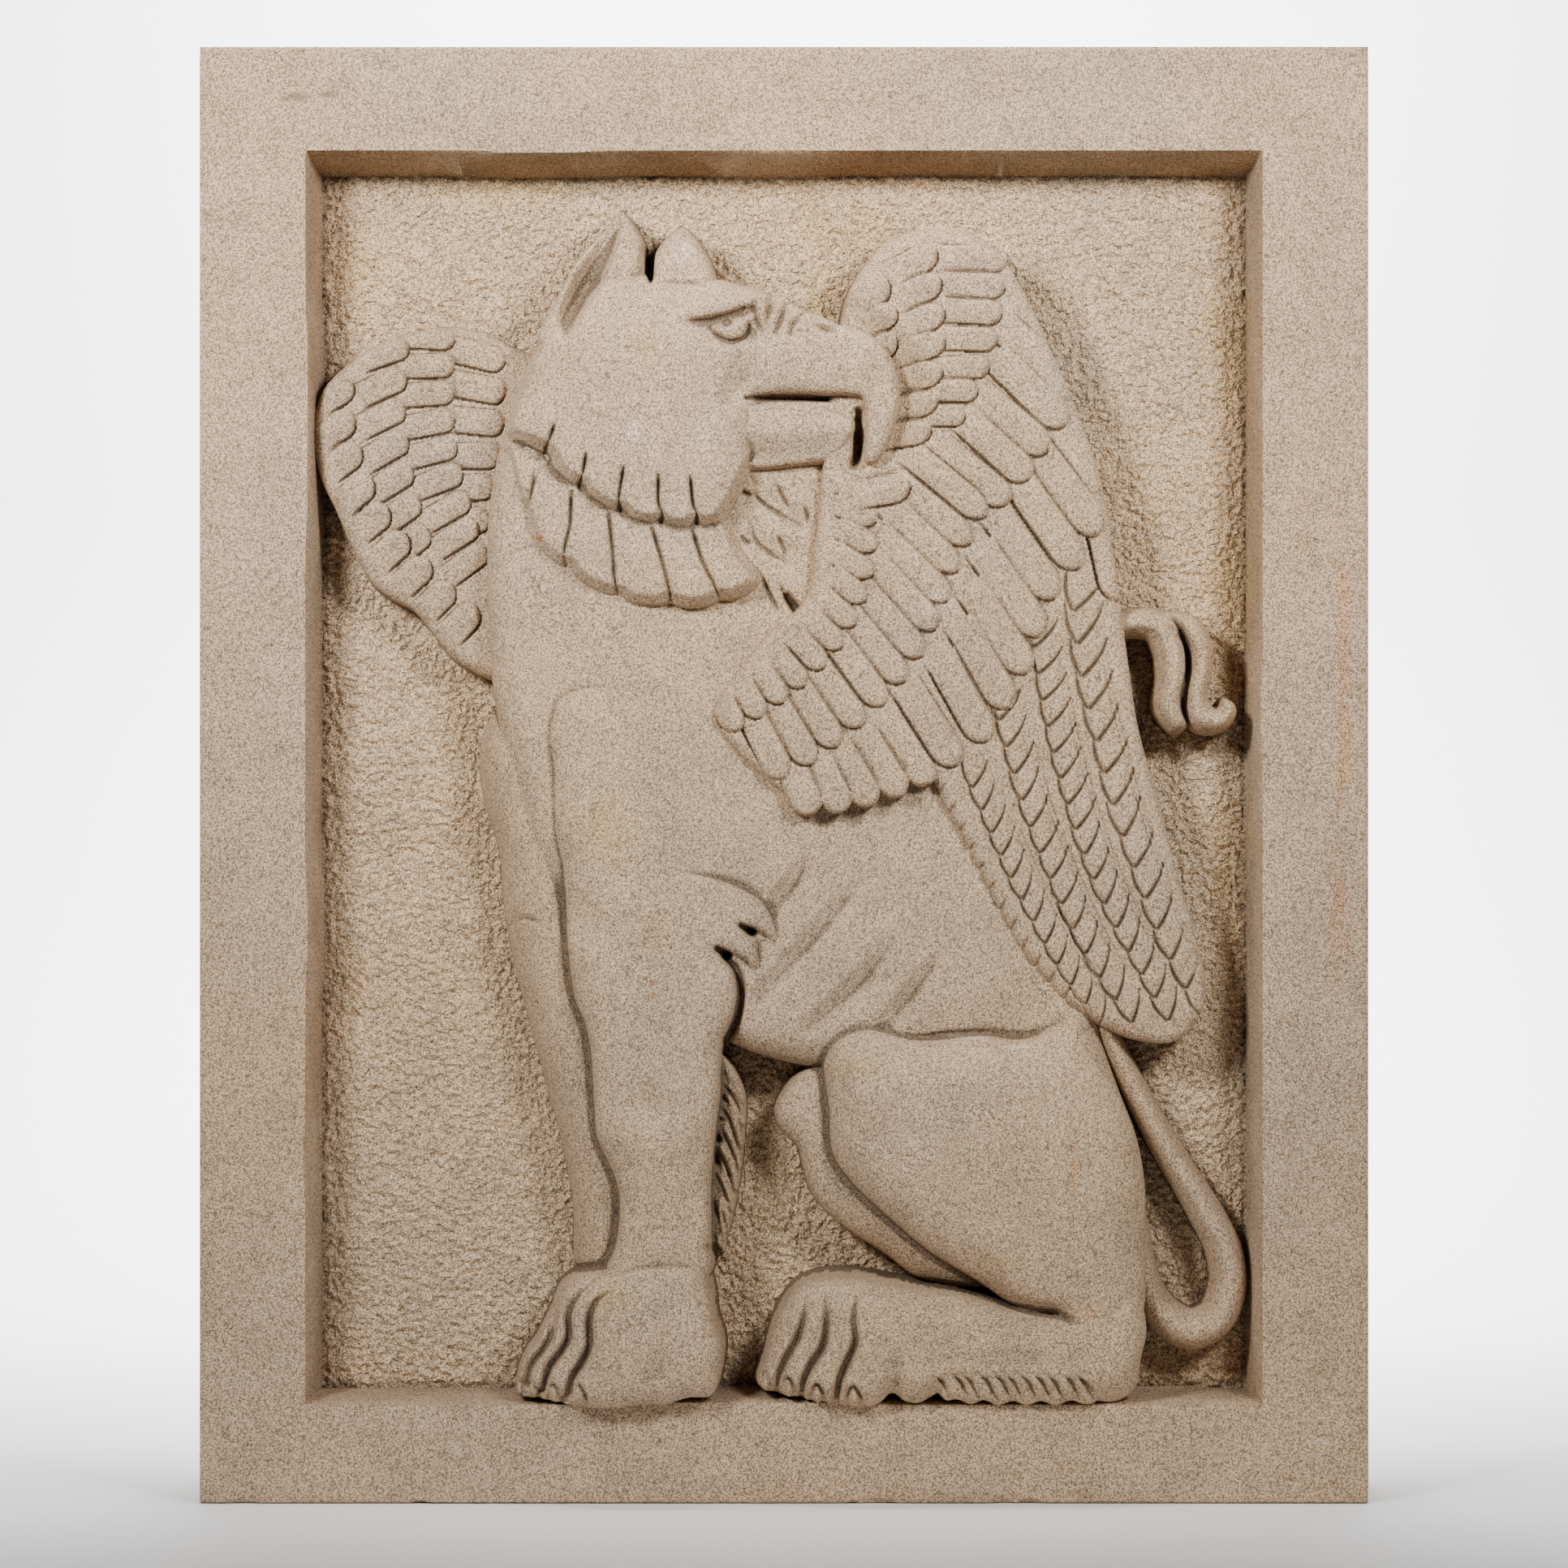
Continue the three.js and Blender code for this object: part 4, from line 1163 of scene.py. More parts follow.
def carve_bands(sheet, bands, free):
    """Arches the bands of the flight feathers, and cuts their shafts and barbs."""
    for number, (line, count, heading, length) in enumerate(bands):
        way = curve(line, 4.0)[:, :2]
        # the line of the shaft, parallel to the cusps on their outer side
        heads = np.gradient(way, axis=0)
        heads /= np.linalg.norm(heads, axis=1)[:, None]
        shaft = way + np.column_stack([-heads[:, 1], heads[:, 0]]) * SHAFT_OFF
        swell_line = np.column_stack([way + (shaft - way) * 0.5,
                                      np.full((len(way), 2), (8.0, 0.9))])
        area, rise = swept(sheet, swell_line, lambda off: 1 - off * off)
        sheet.h[area] += rise
        for off in SHAFT_LINES:
            beside = shaft + (shaft - way) / SHAFT_OFF * off
            cut(sheet, beside[2:-1:3], half=1.1, deep=1.6, taper=0.2)
        laid = lay_row(f"band_{number}", BARB, line, count, heading, length, length, (0, 0),
                       seed=30 + number, uneven=3.0)
        depth = np.maximum(stands(sheet, laid), 0)
        sheet.h -= np.where(free, depth, 0)
        forget(laid)


free_of_rows = plate & (relief == 0)
# the wing lies back under the bill, with a deep gap behind the hook
hollow(near_wing, [(24, 618, 14, 4), (44, 604, 20, 8), (56, 588, 20, 9), (58, 570, 18, 9),
                   (50, 548, 18, 8), (34, 538, 16, 5)])
hollow(near_wing, [(38.5, 568, 4, 10), (38.5, 556, 4, 14), (38, 546, 4, 10), (36, 541, 4, 3)])
carve_bands(near_wing, BANDS, free_of_rows)
# the innermost band is narrow: only its short barbs show along the wing's edge
EDGE_BARBS = [(81, 366), (94, 341), (106, 318), (120, 294), (134, 274), (147, 260)]
for x, z in curve(EDGE_BARBS, 12.4)[:, :2]:
    cut(near_wing, [(x, z), (x + 0.8, z + 5), (x + 3.5, z + 10)], half=1.3, deep=3.0, taper=0.3)
print("flight feathers:", len(BANDS) + 1, "bands")

# %% [markdown]
# ## The far wing
#
# The far wing lies behind the neck and nearly down on the ground, so it is low. Only
# its outer part is seen, with four rows of feathers and no flight feathers.

# %% The far wing
far_wing = Sheet(-252, -100, 422, 624, FEATHERY)
FAR_ROWS = [
    ("far_long", FEATHER, [(-146, 597), (-146, 575), (-148, 553), (-152, 533), (-154, 515)],
     6, (-14, 8), (30, 26), (15.5, 15), (2.6, 2.6)),
    ("far_third", FEATHER, [(-172.5, 609), (-173, 583), (-172, 556), (-165, 525), (-156, 499)],
     9, (-4, 38), (30, 28), (14, 14), FLUSH),
    ("far_second", FEATHER, [(-197, 606), (-199, 575), (-195, 540), (-187, 509)],
     7, (20, 40), (28, 27), (15, 15), FLUSH),
    ("far_first", COVERT, [(-226, 586), (-225, 565), (-215, 534), (-195, 503), (-172, 478),
                           (-161, 468)],
     9, (34, 46), (24, 24), (16.5, 16.5), FLUSH),
]

pad(far_wing, [(-112, 604), (-130, 601), (-145, 606.5), (-158, 613), (-174, 616), (-190, 614),
               (-205, 610), (-222, 601), (-235, 591), (-243, 581), (-247.5, 566), (-247, 550),
               (-243, 533), (-237, 521), (-231, 507), (-225, 494), (-217, 480), (-208, 473),
               (-195, 466), (-186, 455), (-176, 442), (-164, 434), (-150, 429), (-120, 432)],
    lambda x, z: 26 + 5 * smooth_step(-150, -225, x), edge=9, drop=8)
plate = far_wing.h > PLATE
far_wing.h = np.where(plate, far_wing.h + rows_relief(far_wing, FAR_ROWS, 20), far_wing.h)
print("far wing rows:", sum(row[3] for row in FAR_ROWS), "feathers")

# %% [markdown]
# ## Hair
#
# Locks of hair show in three places: flame-like ones between the collar and the
# wing, a fringe behind the foreleg and another under the hind foot. A lock is a
# short bent ridge that ends in a point. The leg's fringe is a row of one lock, laid
# by the same tree as the feathers. The foot's fringe is a pad with strands cut in it.

# %% Hair
def lock_shape(name, bend, height):
    """A bent, pointed ridge of unit length and width, its tip at the origin."""
    corners, faces = [], []
    for i in range(11):
        u = i / 10
        half = 0.5 * math.sin(math.pi * min(1.0, 0.22 + u * 0.78)) ** 0.8 + 0.02
        for j in range(7):
            v = j / 3 - 1
            arch = (1 - v * v) ** 0.5 * height * (1 - 0.25 * u)
            corners.append((u - 1, v * half + bend * math.sin(math.pi * u), (arch - 1.5) * MM))
    for i in range(10):
        for j in range(6):
            faces.append((i * 7 + j, i * 7 + 7 + j, i * 7 + 8 + j, i * 7 + 1 + j))
    return drawing_mesh(name, corners, faces)


LOCK = lock_shape("lock", bend=0.12, height=5.0)


def carve_fringes(sheet):
    """The fringe behind the foreleg, and the one under the hind foot."""
    ridge(sheet, [(-32, 226, 4, 26), (-27, 212, 7, 28), (-28, 190, 8, 28), (-31, 160, 7.5, 27),
                  (-35, 132, 5, 26)], full=0.4)
    pad(sheet, [(78, 66), (86, 71), (110, 69), (135, 70), (152, 69), (160, 62), (163, 53), (156, 51),
                (150, 53.5), (141, 50.5), (134, 53), (126, 50.5), (119, 53), (111, 50.5),
                (104, 53.5), (97, 51), (90, 54), (84, 53)],
        lambda x, z: 58 - 5 * smooth_step(66, 50, z), edge=5, drop=7, blend=1)
    laid = lay_row("leg_fringe", LOCK, [(-20.5, 206), (-21, 188), (-23, 170), (-27, 148), (-31, 127)],
                   8, (-62, -70), (30, 28), (7.5, 7.0), (26, 25), seed=60, uneven=4)
    sheet.h = np.maximum(sheet.h, stands(sheet, laid))
    forget(laid)
    hollow(sheet, [(-40, 134, 2, 8), (-35, 129, 3, 14), (-33, 125, 2, 6)])


def cut_fringes(sheet):
    """The strands within the fringes."""
    for line in ([(-34, 219), (-27, 211), (-21, 196)], [(-35, 208), (-29, 199), (-24, 183)],
                 [(-34, 196), (-29, 186), (-24, 173)], [(-37, 186), (-31, 176), (-27, 163)],
                 [(-38, 174), (-33, 164), (-28, 151)], [(-38, 160), (-35, 147), (-32, 131)],
                 [(-33, 152), (-31, 144), (-29, 137)]):
        cut(sheet, line, half=1.5, deep=5.0, taper=0.25)
    uneven = np.random.default_rng(8)
    for x in np.arange(83, 158, 7.4) + uneven.uniform(-1.6, 1.6, 11):
        cut(sheet, [(x - 6, 69), (x - 1, 65), (x + 3, 58), (x + 8, 51)],
            half=1.6, deep=4.5, taper=0.3)
        cut(sheet, [(x - 1, 67), (x + 3, 62), (x + 6, 57)], half=1.0, deep=2.0)


def carve_mane(sheet):
    """Flame-like locks that curl down between the collar and the wing."""
    pad(sheet, [(-34, 545), (-20, 540), (2, 541), (22, 541), (22, 500), (16, 470), (4, 460),
                (-14, 470), (-30, 480), (-44, 500)],
        lambda x, z: 44 - 4 * smooth_step(-30, 15, x), edge=6, drop=6, blend=1)
    for line in ([(-17, 535), (-14, 525), (-2, 516), (8, 511)], [(-25, 529), (-20, 527), (-15, 525)],
                 [(-5, 534), (-1, 526), (4, 517)], [(9, 522), (12, 516), (12, 509)],
                 [(-17, 513), (-15, 503), (-9, 497), (1, 491)], [(-23, 506), (-20, 502), (-15, 500)],
                 [(-4, 507), (-1, 500), (2, 493)], [(-13, 488), (-8, 475), (0, 462)],
                 [(-3, 481), (0, 474), (3, 466)]):
        (ax, az), *_, (bx, bz) = line
        hollow(sheet, [(ax, az, 2, 0.4), ((ax + bx) / 2 - 2, (az + bz) / 2 - 2, 7, 1.6),
                       (bx, bz - 2, 4, 0.8)])
        cut(sheet, line, half=1.6, deep=3.4, taper=0.35)
    hollow(sheet, [(2, 473, 3, 6), (6, 467, 3.5, 12), (10, 462, 2, 4)])


carve_fringes(body)
cut_fringes(body)
carve_mane(body)
print("one lock has", len(LOCK.data.polygons), "faces")

# %% [markdown]
# ## Tail
#
# The tail drops down the rump, turns in a loop and rises behind the wing, and
# its tuft of two curling locks shows beyond the wing's other edge.

# %% The tail
tail = Sheet(160, 250, 66, 476, FINE)
ridge(tail, [(184, 178, 3.5, 31), (185.5, 155, 5.5, 32), (187.5, 132, 7.5, 33), (191.5, 110, 9.5, 33),
             (200, 95.5, 11, 33), (214, 87.5, 12, 33), (227.5, 93, 11.5, 32), (234.5, 110, 11, 31),
             (232, 130, 10.5, 31), (222, 150, 10, 30), (208.5, 172, 9.2, 30), (194, 197, 8.5, 29),
             (181, 221, 8, 28), (169, 247, 7, 28)], full=0.5)
ridge(tail, [(172, 457, 8, 33), (184, 460, 9, 36), (196, 458, 10, 38), (203, 446, 10, 39),
             (204, 430, 9.5, 39), (202.5, 416, 9.5, 38), (206, 408, 7.5, 37)], full=0.4)
ridge(tail, [(200, 460, 7, 37), (212, 457, 9, 38), (218.5, 447, 8.5, 38), (219, 435, 7.5, 37),
             (216.5, 422, 7.5, 37), (219, 411, 9.5, 38), (228, 408.5, 7.5, 39), (233, 414, 6, 39),
             (231.5, 418, 3, 37)], full=0.4)
cut(tail, [(192, 468), (203, 462.5), (211, 449.5), (212, 436), (209, 421), (211, 410), (216, 403)],
    half=2.2, deep=8, taper=0.15)
cut(tail, [(181, 455), (188, 456), (195, 453), (198, 443), (198, 433), (196, 420)], half=1.3, deep=2.2)
for shift in (2.5, 6):
    cut(tail, [(190 - shift, 467.5 - shift * 0.6), (200 - shift * 0.6, 463 - shift * 0.8),
               (209 - shift, 449), (210 - shift, 434), (207 - shift, 419)], half=1.1, deep=1.3)
cut(tail, [(222, 455), (223.5, 441), (221, 428), (222, 418)], half=1.1, deep=1.3)
tell("tail", tail.h)

# %% [markdown]
# ## The block
#
# The block's own sheet has the border, the four leaning walls and the ground. The
# ground was cut with a point: the mason struck it all over, which leaves it
# pebbled, with 3 to 4 mm from one dent to the next.

# %% The block
def block_lines(low, high, inner_low, inner_high, step):
    """Grid lines: wide apart on the border, close in the field, exact at the arrises."""
    margin = 14.0
    edge = np.array([0.0, 0.5, 1.1, 2.0, 3.4, 5.5, 9.0])
    first, last = inner_low - margin, inner_high + margin
    field = np.linspace(first, last, int(round((last - first) / step)) + 1)
    return np.concatenate([low + edge, np.linspace(low + 14, first, 6)[:-1], field,
                           np.linspace(last, high - 14, 6)[1:], high - edge[::-1]])


class Block(Sheet):
    """The whole face of the panel on grid lines of uneven spacing."""

    def __init__(self, step):
        self.step = step
        self.x = block_lines(-WIDTH / 2, WIDTH / 2, -OPEN_X, OPEN_X, step).astype(np.float32)
        self.z = block_lines(0, TALL, OPEN_LOW, OPEN_HIGH, step).astype(np.float32)
        self.X, self.Z = np.meshgrid(self.x, self.z)
        self.h = np.full(self.X.shape, RECESS, np.float32)


block = Block(COARSE)


def wall_depth(sheet):
    """0 on the border, 1 on the ground, and between them on the leaning walls."""
    wander = 0.5 * roughness(sheet, 60, 31)
    side = (OPEN_X - np.abs(sheet.X) + wander) / BATTER_SIDE
    top = (OPEN_HIGH - sheet.Z + wander) / BATTER_TOP
    foot = (sheet.Z - OPEN_LOW + wander) / BATTER_FOOT
    return np.clip(np.minimum(np.minimum(side, top), foot), 0, 1)


depth_in = wall_depth(block)
on_ground = smooth_step(0.93, 1.0, depth_in)
block.h = RECESS * (1 - depth_in)

# the outer arris is worn round, and chipped here and there along the foot
from_edge = np.minimum(np.minimum(WIDTH / 2 - np.abs(block.X), TALL - block.Z), block.Z)
block.h -= 1.3 * np.maximum(1 - from_edge / 1.8, 0) ** 2
CHIPS = [(46, 0, 15, 2.6), (118, 0, 10, 5.0), (128, 0, 6, 3.5), (-282, 0, 6, 3.0), (305, 3, 7, 3.5),
         (-305, 30, 4, 2.5), (-190, 0, 5, 2.0), (305, 757, 5, 3.0), (-305, 757, 5, 3.0)]
for x, z, wide, deep in CHIPS:
    away = np.hypot((block.X - x) / wide, (block.Z - z) / deep)
    block.h -= 2.6 * np.maximum(1 - away**2, 0) * (0.8 + 0.3 * roughness(block, 3, 11))
# small pits: one in the ground, one on the border
for x, z, wide, deep in ((176, 634, 2.4, 4.0), (172.5, 636, 1.8, 2.5)):
    away = np.hypot(block.X - x, block.Z - z) / wide
    block.h -= deep * np.maximum(1 - away**2, 0)

print("block:", block.h.size, "nodes,", len(CHIPS), "chips")

# %% [markdown]
# ## The point's marks
#
# The dents are another job for Geometry Nodes. Points are strewn over the field at
# no less than a set distance, as a hand spaces its blows, and a cup is set on each,
# turned and sized at random. Where two cups cross, the deeper one counts.

# %% The point's marks
def pit_shape():
    """One dent of the mason's point: a shallow six-sided cup, given as a depth."""
    corners = [(0, 0, 3.4 * MM)]
    for ring, deep in ((0.5, 2.3), (1.0, 0.0)):
        for i in range(6):
            turn = math.radians(60 * i)
            corners.append((ring * math.cos(turn), 0.72 * ring * math.sin(turn), deep * MM))
    faces = []
    for i in range(6):
        j = (i + 1) % 6
        faces += [(0, 1 + i, 1 + j), (1 + i, 7 + i, 7 + j, 1 + j)]
    return drawing_mesh("pit", corners, faces)


CROWDED = 400000.0  # points to a square metre before those too close are taken away


def scatter_tree():
    """Shapes strewn over a face at no less than a given distance from one another."""
    tree, given = new_tree("GeometryNodeTree", "strewn_marks", [
        *SHAPES, ("Shape", OBJECT), ("Least distance", NUMBER, 0.003),
        ("Least size", NUMBER, 0.002), ("Greatest size", NUMBER, 0.003), ("Seed", WHOLE, 1)],
        SHAPES)
    points = add(tree, "GeometryNodeDistributePointsOnFaces", {
        "Mesh": given["Geometry"], "Distance Min": given["Least distance"],
        "Density Max": CROWDED, "Seed": given["Seed"]}, distribute_method="POISSON")
    turn = add(tree, "FunctionNodeRandomValue", {2: 0.0, 3: 6.2832, "Seed": given["Seed"]},
               data_type="FLOAT").outputs[1]
    rotation = add(tree, "ShaderNodeCombineXYZ", {"Z": turn}).outputs[0]
    size = add(tree, "FunctionNodeRandomValue", {
        2: given["Least size"], 3: given["Greatest size"], "Seed": given["Seed"]},
        data_type="FLOAT").outputs[1]
    # a wider dent is deeper too, in the same proportion
    deep = maths(tree, "DIVIDE", size, given["Greatest size"])
    scale = add(tree, "ShaderNodeCombineXYZ", {"X": size, "Y": size, "Z": deep}).outputs[0]
    set_shapes(tree, points.outputs["Points"], given["Shape"], rotation, scale)
    return tree


def strew_pits(sheet, least, sizes, seed):
    """The depth of a field of dents at every node of a sheet."""
    half, low, high = OPEN_X * MM, OPEN_LOW * MM, OPEN_HIGH * MM
    field = drawing_mesh("field", [(-half, low, 0), (half, low, 0), (half, high, 0), (-half, high, 0)],
                         [(0, 1, 2, 3)])
    pit = pit_shape()
    values = {"Shape": pit, "Least distance": least * MM, "Least size": sizes[0] * MM,
              "Greatest size": sizes[1] * MM, "Seed": seed}
    strewn = new_object("strewn", run_tree(field, SCATTER, values))
    depth = np.maximum(stands(sheet, strewn), 0)
    for thing in (field, pit, strewn):
        forget(thing)
    return depth


SCATTER = scatter_tree()
dents = strew_pits(block, least=2.9, sizes=(2.3, 4.2), seed=5)
rolling = 0.9 * roughness(block, 34, 7) + 0.35 * roughness(block, 6, 6)
block.h += on_ground * (rolling + 1.4 - dents)
print("ground from", round(float(block.h[on_ground > 0.9].min()), 1), "to",
      round(float(block.h[on_ground > 0.9].max()), 1), "mm")

# %% [markdown]
# ## From heights to a closed stone
#
# Each sheet becomes a closed mesh: its heights are the front, and a skirt runs
# down to a flat underside inside the block. The Decimate modifier then takes
# points away where the stone is nearly flat and leaves them at every edge, which
# brings each piece under 200,000 triangles.

# %% Closed meshes
MOST = {"stone_block": 196000, "griffin_body": 190000, "griffin_head": 170000,
        "near_wing": 190000, "far_wing": 90000, "tail": 50000}
print("triangles at most:", sum(MOST.values()))


def closed_mesh(name, x, z, heights, keep, floor):
    """A solid between a height field and a flat floor, over the nodes that are kept."""
    rows, columns = heights.shape
    quads = keep[:-1, :-1] & keep[1:, :-1] & keep[:-1, 1:] & keep[1:, 1:]
    used = np.zeros(heights.shape, bool)
    for dr, dc in ((0, 0), (1, 0), (0, 1), (1, 1)):
        used[dr:rows - 1 + dr, dc:columns - 1 + dc] |= quads
    number = np.full(heights.shape, -1, np.int64)
    number[used] = np.arange(used.sum())
    total = int(used.sum())
    X, Z = np.meshgrid(x, z)
    front = np.column_stack([X[used] * MM, height_to_y(heights[used]), Z[used] * MM])
    back = front.copy()
    back[:, 1] = height_to_y(floor)
    r, c = np.nonzero(quads)
    a, b, d, e = number[r, c], number[r, c + 1], number[r + 1, c + 1], number[r + 1, c]
    faces = [np.column_stack([a, b, d, e]), np.column_stack([e, d, b, a]) + total]
    ring = np.pad(quads, 1)
    for (dr, dc), (p, q) in (((-1, 0), (a, b)), ((0, 1), (b, d)), ((1, 0), (d, e)), ((0, -1), (e, a))):
        edge = ~ring[r + 1 + dr, c + 1 + dc]
        faces.append(np.column_stack([q[edge], p[edge], p[edge] + total, q[edge] + total]))
    faces = np.vstack(faces).astype(np.int32)
    mesh = bpy.data.meshes.new(name)
    mesh.vertices.add(2 * total)
    mesh.vertices.foreach_set("co", np.vstack([front, back]).astype(np.float32).ravel())
    mesh.loops.add(faces.size)
    mesh.loops.foreach_set("vertex_index", faces.ravel())
    mesh.polygons.add(len(faces))
    mesh.polygons.foreach_set("loop_start", np.arange(0, faces.size, 4, dtype=np.int32))
    mesh.update(calc_edges=True)
    mesh.validate()
    mesh.shade_smooth()
    return new_object(name, mesh)


def thin_out(piece):
    """Takes triangles away where the surface is nearly flat, down to the piece's number."""
    triangles = 2 * len(piece.data.polygons)
    if triangles <= MOST[piece.name]:
        return
    modifier = piece.modifiers.new("thin_out", "DECIMATE")
    modifier.ratio = MOST[piece.name] / triangles
    graph = bpy.context.evaluated_depsgraph_get()
    thinned = bpy.data.meshes.new_from_object(piece.evaluated_get(graph))
    piece.modifiers.remove(modifier)
    old = piece.data
    piece.data = thinned
    thinned.name = piece.name
    bpy.data.meshes.remove(old)

# %% [markdown]
# ## The last rub, and the pieces
#
# Rubbing down wears every edge a little, and never leaves a face quite even. So
# each sheet is blurred a touch and gets a slight, slow unevenness before it is
# closed. Each piece also notes how deep it lies in a narrow cut, for the dirt and
# the painted shade that the material puts there.

# %% Finish the heights and close the pieces
NARROW = 3.0  # cuts about this wide and deep, in millimetres, hold dirt and get painted shade


def note(piece, sheet, name, values):
    """Stores a sheet's values on a piece's points, for its material to read."""
    count = len(piece.data.vertices)
    places = np.empty(3 * count, np.float32)
    piece.data.vertices.foreach_get("co", places)
    places = places.reshape(-1, 3)
    noted = piece.data.attributes.new(name, "FLOAT", "POINT")
    found = sheet.at(values, places[:, 0] / MM, places[:, 2] / MM).astype(np.float32)
    noted.data.foreach_set("value", found)


def recesses(sheet):
    """1 at the bottom of a narrow cut, 0 on open stone, and below 0 on an edge."""
    heights = np.maximum(sheet.h, -1)
    wide = blur(heights, NARROW / sheet.step)
    return np.clip((wide - heights) / NARROW, -1, 1)


def finish_piece(sheet, name, seed, worn):
    """Rubbed stone: edges a touch worn, and a surface that isn't quite even."""
    keep = sheet.h > DUG_IN
    sheet.h = np.where(keep, blur(sheet.h, worn), sheet.h)
    sheet.h = sheet.h + 0.28 * roughness(sheet, 16, seed) + 0.10 * roughness(sheet, 6, seed + 1)
    piece = closed_mesh(name, sheet.x, sheet.z, sheet.h, keep, UNDERSIDE)
    thin_out(piece)
    # how deep each point lies in a narrow cut; the material paints shade and dirt there
    note(piece, sheet, "recess", recesses(sheet))
    print(name, len(piece.data.polygons), "faces")
    return piece


pieces = {}
for name, sheet, seed, worn in (("griffin_body", body, 41, 0.6), ("griffin_head", head, 43, 0.6),
                                ("near_wing", near_wing, 45, 0.35),
                                ("far_wing", far_wing, 47, 0.35), ("tail", tail, 49, 0.6)):
    pieces[name] = finish_piece(sheet, name, seed, worn)
everywhere = np.ones(block.h.shape, bool)
pieces["stone_block"] = closed_mesh("stone_block", block.x, block.z, block.h, everywhere,
                                    -(SLAB - RECESS))
thin_out(pieces["stone_block"])
# painted shade: the field's leaning walls are darkened and greyed in colour as if in shade, and the
# ground's dents get the same dirt and painted shade as the cuts
painted_wall_shade = smooth_step(0.02, 0.25, depth_in) * (1 - on_ground)
note(pieces["stone_block"], block, "recess", 0.3 * recesses(block) * on_ground + 0.16 * painted_wall_shade)
note(pieces["stone_block"], block, "pecked", on_ground)
pieces["stone_block"].data.set_sharp_from_angle(angle=math.radians(38))
print("stone_block", len(pieces["stone_block"].data.polygons), "faces")

# %% [markdown]
# ## Sandstone
#
# One stone, so one material: a warm grey-buff. Three node groups feed it, and
# each puts out only values or masks:
#
# - `stone_grain` is the speckle of light and dark grains, and their relief.
# - `soft_spots` marks ellipses with soft, wandering edges on the panel's face. It is
#   what places the ochre patches, the rust veins and the pale bruises.
# - `tint` multiplies a colour by another one where a mask says so.
#
# Everything reads Object coordinates, so that the pattern runs through all the
# pieces as it does through one block. The two attributes that the pieces carry
# darken the cuts and the field's walls with dirt and painted shade, and roughen
# the pecked ground.

# %% Node groups for stone
def spread(tree, value, low, high, start=0.0, end=1.0):
    """Maps a value's range from low to high onto start to end, softly at both ends."""
    return add(tree, "ShaderNodeMapRange", {
        "Value": value, "From Min": low, "From Max": high, "To Min": start, "To Max": end,
    }, interpolation_type="SMOOTHSTEP").outputs["Result"]


def noise(tree, place, scale, detail):
    """A noise value that changes over the place."""
    return add(tree, "ShaderNodeTexNoise",
               {"Vector": place, "Scale": scale, "Detail": detail}).outputs["Fac"]


def grain_group():
    """Fine and coarse grains: a share that darkens or lightens, and a height for the bump."""
    tree, given = new_tree("ShaderNodeTree", "stone_grain", [("Place", VECTOR)],
                           [("Shade", NUMBER), ("Height", NUMBER)])
    fine, coarse, cloud = (noise(tree, given["Place"], scale, detail)
                           for scale, detail in ((1150.0, 1.5), (420.0, 3.0), (38.0, 4.0)))
    shade = spread(tree, fine, 0.3, 0.7, 0.42, 1.58)
    dark = spread(tree, coarse, 0.32, 0.46, 0.66, 1.0)
    broad = spread(tree, cloud, 0.3, 0.7, 0.93, 1.07)
    both = maths(tree, "MULTIPLY", shade, dark)
    both = maths(tree, "MULTIPLY", both, broad)
    height = maths(tree, "MULTIPLY_ADD", coarse, 0.6, fine)
    add(tree, "NodeGroupOutput", {"Shade": both, "Height": height})
    return tree


def spot_group():
    """1 in the middle of an ellipse on the panel's face, 0 beyond it; sizes in metres."""
    tree, given = new_tree("ShaderNodeTree", "soft_spots", [
        ("Place", VECTOR), ("Middle", VECTOR), ("Size", VECTOR)], [("Mask", NUMBER)])
    wander = noise(tree, given["Place"], 26.0, 5.0)
    away = add(tree, "ShaderNodeVectorMath", {0: given["Place"], 1: given["Middle"]},
               operation="SUBTRACT").outputs[0]
    away = add(tree, "ShaderNodeVectorMath", {0: away, 1: given["Size"]},
               operation="DIVIDE").outputs[0]
    away = add(tree, "ShaderNodeVectorMath", {0: away, 1: (1, 0, 1)}, operation="MULTIPLY").outputs[0]
    away = add(tree, "ShaderNodeVectorMath", {0: away}, operation="LENGTH").outputs["Value"]
    ragged = maths(tree, "MULTIPLY_ADD", wander, 1.6, away)
    add(tree, "NodeGroupOutput", {"Mask": spread(tree, ragged, 0.9, 1.7, 1.0, 0.0)})
    return tree


def tint_group():
    """A colour, multiplied by a tint as far as the mask says."""
    tree, given = new_tree("ShaderNodeTree", "tint", [
        ("Colour", COLOUR), ("Tint", COLOUR), ("Mask", NUMBER)], [("Colour", COLOUR)])
    mixed = add(tree, "ShaderNodeMix", {"Factor": given["Mask"], 6: given["Colour"],
                                        7: given["Tint"]}, data_type="RGBA", blend_type="MULTIPLY")
    add(tree, "NodeGroupOutput", {"Colour": mixed.outputs[2]})
    return tree


GRAIN, SPOT, TINT = grain_group(), spot_group(), tint_group()
print("node groups:", GRAIN.name, SPOT.name, TINT.name)

# %% [markdown]
# ## Where the stone is marked
#
# Stains and bruises are few and each has its place, so they are listed, one list to a
# kind: yellow and grey patches, rusty veins, pale bruises where the chisel crushed the
# stone, a dark smudge and a few red flecks.

